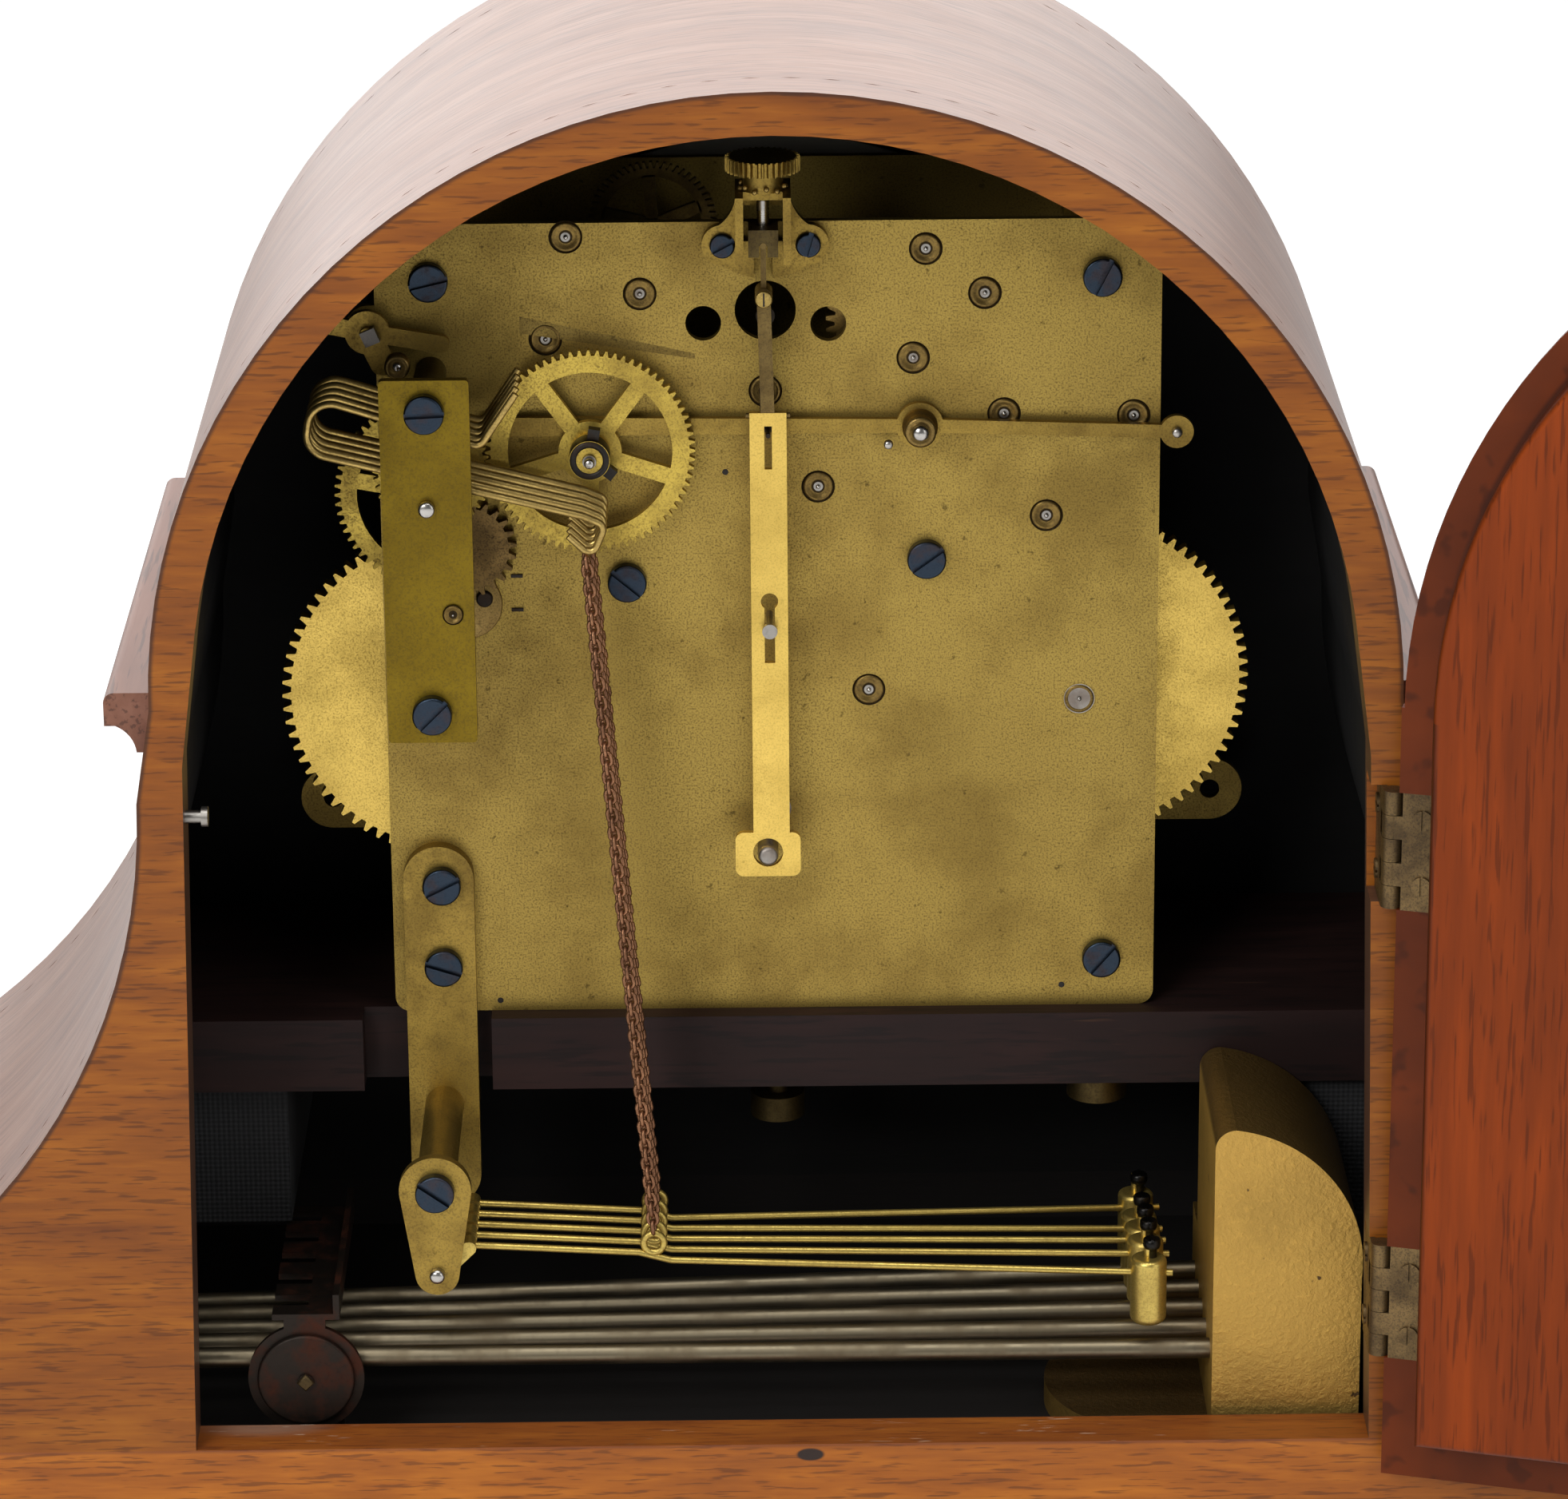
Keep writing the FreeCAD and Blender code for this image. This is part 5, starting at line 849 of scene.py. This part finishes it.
    def suspension(self, material, dark):
        """The rate nut's thread, the points of its star washer and the slotted face of the rod, whose slot is
        a dark strip of painted shade
        """
        low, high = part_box("rate_nut")
        x = (low.x + high.x) / 2
        y = (low.y + high.y) / 2
        form = bmesh.new()
        outline = []
        z = high.z - 0.0083
        while z > low.z + 0.0002:
            outline += [(0.00122, z), (0.00102, z - 0.00022)]
            z -= 0.00044
        upright(form, x, y, outline)
        new_piece("nut_thread", form, material, "nut")
        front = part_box("suspension_rod")[1].y
        mid = sum(corner.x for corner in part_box("suspension_block")) / 2
        face = brass("rod_face_brass", (0.50, 0.35, 0.10), (0.20, 0.13, 0.04), 0.5, 0.28, 300.0, 0.3)
        round_piece("rod_face", face, "pendulum", mid, rise(0.0639), [
            (0.00165, -0.0004), (0.00165, 0.0002), (0.0014, 0.0004)], depth=front)
        # The rod's slot is a thin dark strip: painted shade where the slot is.
        form = bmesh.new()
        block(form, mid - 0.00016, mid + 0.00016, rise(0.0626), rise(0.0652), front + 0.0003, front + 0.00043)
        new_piece("rod_slot", form, dark, "pendulum")
        form = bmesh.new()
        for index in range(12):
            angle = 2 * math.pi * (index + 0.3) / 12
            way = Vector((math.cos(angle), math.sin(angle), 0.0))
            middle = Vector((x, y, high.z - 0.0060 + 0.0006 * (index % 2))) + way * 0.0043
            place = Matrix.Translation(middle)
            bmesh.ops.create_icosphere(form, subdivisions=2, radius=0.00055, matrix=place)
        star = brass("washer_brass", (0.50, 0.34, 0.10), (0.16, 0.10, 0.03), 0.5, 0.3, 200.0, 0.3)
        new_piece("star_washer", form, star, "nut")

    def inner_wheels(self, material):
        form = bmesh.new()
        toothed(form, 0.02275, rise(0.0674), 0.0125, 0.0113, 0.0096, 58, -0.021, -0.0195, 5)
        toothed(form, -0.0215, rise(0.0545), 0.0112, 0.0095, 0.0040, 30, 0.0035, 0.0050, 4)
        new_piece("inner_wheels", form, material, "case")

    def clicks(self, material, y):
        patch = brass("click_brass", (0.44, 0.30, 0.10), (0.18, 0.11, 0.03), 0.6, 0.38, 120.0, 0.5)
        round_piece("click_plates", patch, "case", 0.0590, rise(0.0005), [
            (0.0068, 0.0), (0.0068, 0.0006), (0.0066, 0.0008), (0.0010, 0.0008)], 40, y)
        # A darker slanted strip lying flat on the plate.
        form = bmesh.new()
        slab(form, [(0.0478, rise(0.0576)), (0.0478, rise(0.0543)),
                    (0.0146, rise(0.0490)), (0.0146, rise(0.0500))], y - 0.0001, y + 0.00003)
        streak = brass("smear_brass", (0.29, 0.20, 0.052), (0.12, 0.075, 0.02), 0.6, 0.46, 90.0, 0.5)
        new_piece("old_smear", form, streak, "case")
        form = bmesh.new()
        turned(form, 0.0556, rise(0.0019), [(0.0016, 0.0006), (0.0016, 0.0016), (0.0013, 0.0019)], depth=y)
        for lift in (0.0058, -0.0010):
            block(form, 0.0505, 0.0482, rise(lift), rise(lift + 0.0006), y, y + 0.0004)
        for x, z in ((-0.0559, -0.0795), (0.0545, -0.0816), (0.0091, 0.0265)):
            turned(form, x, rise(z), [(0.0006, 0.00004), (0.0002, 0.00005)], 16, y)
        new_piece("click_screws", form, material, "case")


class CLOCK_OT_strikers(bpy.types.Operator):
    """Finish the hammers, lifters, gong block, chime rods and comb plate"""
    bl_idname = "clock.strikers"
    bl_label = "Hammers, lifters and rods"

    def execute(self, context):
        wire = brass("hammer_brass", (0.62, 0.46, 0.12), (0.26, 0.17, 0.04), 0.5, 0.28, 140.0, 0.3)
        dress(["hammer_%d" % k for k in range(1, 6)], wire)
        self.head_screws()
        lifter = brass("lifter_wire_brass", (0.54, 0.38, 0.12), (0.20, 0.13, 0.04), 0.5, 0.26, 220.0, 0.28)
        dress(["lifter_%d" % k for k in range(1, 6)], lifter)
        dress(["gong_block"], gong_paint("gong_gold_paint", (0.56, 0.34, 0.075), (0.10, 0.055, 0.02)))
        dress(["chime_rods"], steel("rod_steel", (0.21, 0.175, 0.115), (0.11, 0.075, 0.04), 0.5, 0.36, 60.0))
        rusty = steel("comb_steel", (0.022, 0.016, 0.012), (0.080, 0.021, 0.009), 0.75, 0.42, 130.0, 0.8)
        dress(["comb_arm", "comb_bracket"], rusty)
        low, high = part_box("comb_bracket")
        stud = brass("stud_brass", (0.10, 0.07, 0.03), (0.05, 0.03, 0.012), 0.6, 0.4, 300.0, 0.4)
        round_piece("comb_stud", stud, "case", (low.x + high.x) / 2, low.z + 0.0185, [
            (0.0017, -0.0001), (0.0017, 0.0005), (0.0013, 0.0008)], 4, high.y)
        return {"FINISHED"}

    def head_screws(self):
        """The blackened slotted screws that hold the hammers' heads on their wires"""
        black = steel("screw_black", (0.016, 0.015, 0.014), (0.04, 0.03, 0.02), 0.4, 0.25, 300.0, 0.9)
        for number in range(1, 6):
            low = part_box("hammer_%d" % number)[0]
            points = [v.co for v in NODES["hammer_%d" % number].data.vertices if v.co.x < low.x + 0.0095]
            top = max(p.z for p in points)
            wide = [p for p in points if p.z < top - 0.006]
            x = (min(p.x for p in wide) + max(p.x for p in wide)) / 2
            y = (min(p.y for p in wide) + max(p.y for p in wide)) / 2
            form = bmesh.new()
            upright(form, x, y, [(0.00105, top - 0.0038), (0.00105, top - 0.0021), (0.00150, top - 0.0019),
                                 (0.00172, top - 0.0013), (0.00168, top - 0.0002), (0.00140, top + 0.00005)])
            block(form, x - 0.0002, x + 0.0002, top, top + 0.00025, y - 0.0014, y + 0.0014)
            name = "head_screw_%d" % number
            new_piece(name, form, black, "hammer_body_%d" % number)


class CLOCK_OT_chains(bpy.types.Operator):
    """Make the five fine chains, link by link"""
    bl_idname = "clock.chains"
    bl_label = "Chains"

    def execute(self, context):
        s = context.scene.clock_chain
        copper = brass("chain_copper", (0.34, 0.165, 0.085), (0.085, 0.038, 0.022), 0.6, 0.30, 300.0, 0.3)
        path = link_points(s.link_length - 2 * s.link_wire, s.link_width, 12)
        for number in range(1, 6):
            top, foot = chain_ends(number)
            way = foot - top
            count = int(way.length / s.pitch)
            turn = way.to_track_quat("X", "Z").to_matrix().to_4x4()
            form = bmesh.new()
            for index in range(count + 1):
                share = index / count
                twist = Matrix.Rotation(math.radians(45 if index % 2 else -45), 4, "X")
                place = Matrix.Translation(top.lerp(foot, share)) @ turn @ twist
                sweep_ring(form, path, s.link_wire, 6, place)
            new_piece("chain_links_%d" % number, form, copper, "chain_body_%d" % number,
                      ["chain_%d" % number])
        return {"FINISHED"}


def chain_ends(number):
    low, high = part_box("chain_%d" % number)
    top = Vector((high.x - 0.00105, low.y + 0.0012, high.z - 0.00105))
    foot = Vector((low.x + 0.00095, high.y - 0.00095, low.z + 0.0003))
    return top, foot


class CLOCK_OT_dial(bpy.types.Operator):
    """Finish the dial, its numbers and minute track, the hands, the bezel and its glass"""
    bl_idname = "clock.dial"
    bl_label = "Dial, hands and bezel"

    def execute(self, context):
        s = context.scene.clock_dial
        dress(["dial"], dial_paint("dial_silver", (0.74, 0.70, 0.60)))
        bezel = brass("bezel_brass", (0.66, 0.47, 0.18), (0.34, 0.21, 0.08), 0.4, 0.24, 40.0, 0.15)
        dress(["bezel_ring"], bezel)
        dress(["bezel_glass"], clear_glass("bezel_clear_glass"))
        ink = steel("dial_ink", (0.012, 0.012, 0.014), (0.02, 0.02, 0.02), 0.2, 0.45, 200.0, 0.1)
        blued = steel("hand_blued_steel", (0.03, 0.045, 0.09), (0.05, 0.03, 0.03), 0.3, 0.26, 200.0)
        dress(["hour_hand", "minute_hand"], blued)
        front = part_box("dial")[0].y - 0.00015
        form = bmesh.new()
        for minute in range(60):
            angle = math.radians(minute * 6)
            long_mark = minute % 5 == 0
            inner = s.track_radius - (0.0016 if long_mark else 0.0)
            outer = s.track_radius + 0.0026
            half = 0.0006 if long_mark else 0.00025
            out = Vector((math.sin(angle), 0.0, math.cos(angle)))
            side = Vector((math.cos(angle), 0.0, -math.sin(angle)))
            centre = Vector((0.0, front, ARCH_HEIGHT))
            corners = [centre + out * reach + side * edge for reach, edge in (
                (inner, -half), (outer, -half), (outer, half), (inner, half))]
            form.faces.new([form.verts.new(corner) for corner in corners])
        for radius in (s.track_radius, s.track_radius + 0.0026):
            add_ring(form, radius, 0.00018, front)
        new_piece("minute_track", form, ink, "case")
        for hour in range(1, 13):
            angle = math.radians(hour * 30)
            text = bpy.data.curves.new("number_%d" % hour, "FONT")
            text.body = str(hour)
            text.size = s.number_height * 1.35
            text.align_x = "CENTER"
            text.align_y = "CENTER"
            text.extrude = 0.00008
            shown = placed("number_curve_%d" % hour, text)
            shown.rotation_euler = (math.pi / 2, 0.0, 0.0)
            shown.location = (s.number_radius * math.sin(angle), front,
                              rise(s.number_radius * math.cos(angle)))
            bpy.context.view_layer.update()
            graph = bpy.context.evaluated_depsgraph_get()
            mesh = bpy.data.meshes.new_from_object(shown.evaluated_get(graph))
            mesh.transform(shown.matrix_world)
            mesh.name = "number_%d" % hour
            mesh.materials.clear()
            bpy.data.objects.remove(shown)
            new_piece("number_%d" % hour, mesh, ink, "case")
        return {"FINISHED"}


def add_ring(form, radius, half, y):
    centre = Vector((0.0, y, ARCH_HEIGHT))
    pairs = []
    for c, s in circle(96):
        out = Vector((c, 0.0, s))
        pairs.append([form.verts.new(centre + out * reach) for reach in (radius - half, radius + half)])
    for here, after in zip(pairs, pairs[1:] + pairs[:1]):
        form.faces.new((*here, *after[::-1]))


class CLOCK_OT_stage(bpy.types.Operator):
    """Add the floor, the soft lights and the camera"""
    bl_idname = "clock.stage"
    bl_label = "Stage"

    def execute(self, context):
        s = context.scene.clock_stage
        scene = context.scene
        form = bmesh.new()
        bmesh.ops.create_grid(form, x_segments=1, y_segments=1, size=6.0)
        mesh = mesh_of("floor", form)
        floor = placed("floor", mesh)
        paint = Paint("floor_white")
        camera_ray = paint.ray("Is Camera Ray")
        seen = camera_ray.most(paint.ray("Is Glossy Ray")).most(paint.ray("Is Transmission Ray"))
        glow = paint.add("ShaderNodeEmission", {}, {"Color": WHITE, "Strength": 0.35})
        plain = paint.add("ShaderNodeBsdfDiffuse", {}, {"Color": (0.80, 0.80, 0.80)})
        both = paint.add("ShaderNodeAddShader", {}, {0: glow, 1: plain})
        near = paint.add("ShaderNodeMixShader", {}, {0: seen, 1: plain, 2: both})
        x, y = paint.parts(paint.place())[:2]
        far = (x * x + y * y).root().between(0.8, 2.0) * camera_ray
        white = paint.add("ShaderNodeEmission", {}, {"Color": WHITE, "Strength": 1.0})
        paint.add_output(paint.add("ShaderNodeMixShader", {}, {0: far, 1: near, 2: white}))
        mesh.materials.append(paint.material)

        world = bpy.data.worlds.new("even_light")
        scene.world = world
        world.use_nodes = True
        sky = Paint("even_light", world.node_tree)
        seen = sky.ray("Is Camera Ray").most(sky.ray("Is Transmission Ray"))
        even = sky.add("ShaderNodeBackground", {}, {"Strength": s.sky})
        bright = sky.add("ShaderNodeBackground", {}, {"Color": WHITE, "Strength": 1.0})
        blend = sky.add("ShaderNodeMixShader", {}, {0: seen, 1: even, 2: bright})
        sky.add_output(blend, "ShaderNodeOutputWorld")

        for name, place, aim, size in LAMPS:
            self.lamp(name, place, (0.0, 0.0, aim), size, getattr(s, name + "_power"))

        data = bpy.data.cameras.new("view")
        camera = placed("view", data)
        yaw, pitch, roll = CAMERA_TURN
        flat = math.cos(pitch)
        forward = Vector((math.sin(yaw) * flat, -math.cos(yaw) * flat, -math.sin(pitch)))
        right = forward.cross(Vector((0.0, 0.0, 1.0))).normalized()
        up = right.cross(forward)
        across = right * math.cos(roll) + up * math.sin(roll)
        lifted = up * math.cos(roll) - right * math.sin(roll)
        rows = [(across[i], lifted[i], -forward[i], CAMERA_PLACE[i]) for i in range(3)]
        camera.matrix_world = Matrix((*rows, (0.0, 0.0, 0.0, 1.0)))
        data.sensor_width = SENSOR_WIDTH
        data.lens = FOCAL_PIXELS / IMAGE_WIDTH * SENSOR_WIDTH
        data.clip_start = 0.05
        data.clip_end = 30.0
        scene.camera = camera
        scene.view_settings.view_transform = "Standard"
        return {"FINISHED"}

    def lamp(self, name, place, aim, size, power):
        data = bpy.data.lights.new(name, "AREA")
        data.energy = power
        data.size = size
        lamp = placed(name, data)
        lamp.location = place
        lamp.rotation_euler = (Vector(aim) - Vector(place)).to_track_quat("-Z", "Y").to_euler()


class CLOCK_PT_panel(bpy.types.Panel):
    """Lists the clock's pieces and their settings"""
    bl_idname = "CLOCK_PT_panel"
    bl_label = "Tambour clock"
    bl_space_type = "VIEW_3D"
    bl_region_type = "UI"
    bl_category = "Clock"

    def draw(self, context):
        scene = context.scene
        for operator, group in STEPS:
            self.layout.operator(operator.bl_idname)
            if group:
                settings = getattr(scene, group)
                for key in settings.__annotations__:
                    self.layout.prop(settings, key)


GROUPS = {
    "clock_case": CaseSettings,
    "clock_door": DoorSettings,
    "clock_movement": MovementSettings,
    "clock_chain": ChainSettings,
    "clock_dial": DialSettings,
    "clock_stage": StageSettings,
}
STEPS = [
    (CLOCK_OT_case, "clock_case"),
    (CLOCK_OT_door, "clock_door"),
    (CLOCK_OT_movement, "clock_movement"),
    (CLOCK_OT_wheels, None),
    (CLOCK_OT_details, None),
    (CLOCK_OT_strikers, None),
    (CLOCK_OT_chains, "clock_chain"),
    (CLOCK_OT_dial, "clock_dial"),
    (CLOCK_OT_stage, "clock_stage"),
]


def register():
    for key, group in GROUPS.items():
        bpy.utils.register_class(group)
        setattr(bpy.types.Scene, key, PointerProperty(type=group))
    for operator, _ in STEPS:
        bpy.utils.register_class(operator)
    bpy.utils.register_class(CLOCK_PT_panel)


def unregister():
    bpy.utils.unregister_class(CLOCK_PT_panel)
    for operator, _ in reversed(STEPS):
        bpy.utils.unregister_class(operator)
    for key, group in GROUPS.items():
        delattr(bpy.types.Scene, key)
        bpy.utils.unregister_class(group)


def main():
    register()
    for operator, _ in STEPS:
        family, name = operator.bl_idname.split(".")
        getattr(getattr(bpy.ops, family), name)()


if __name__ == "__main__":
    main()
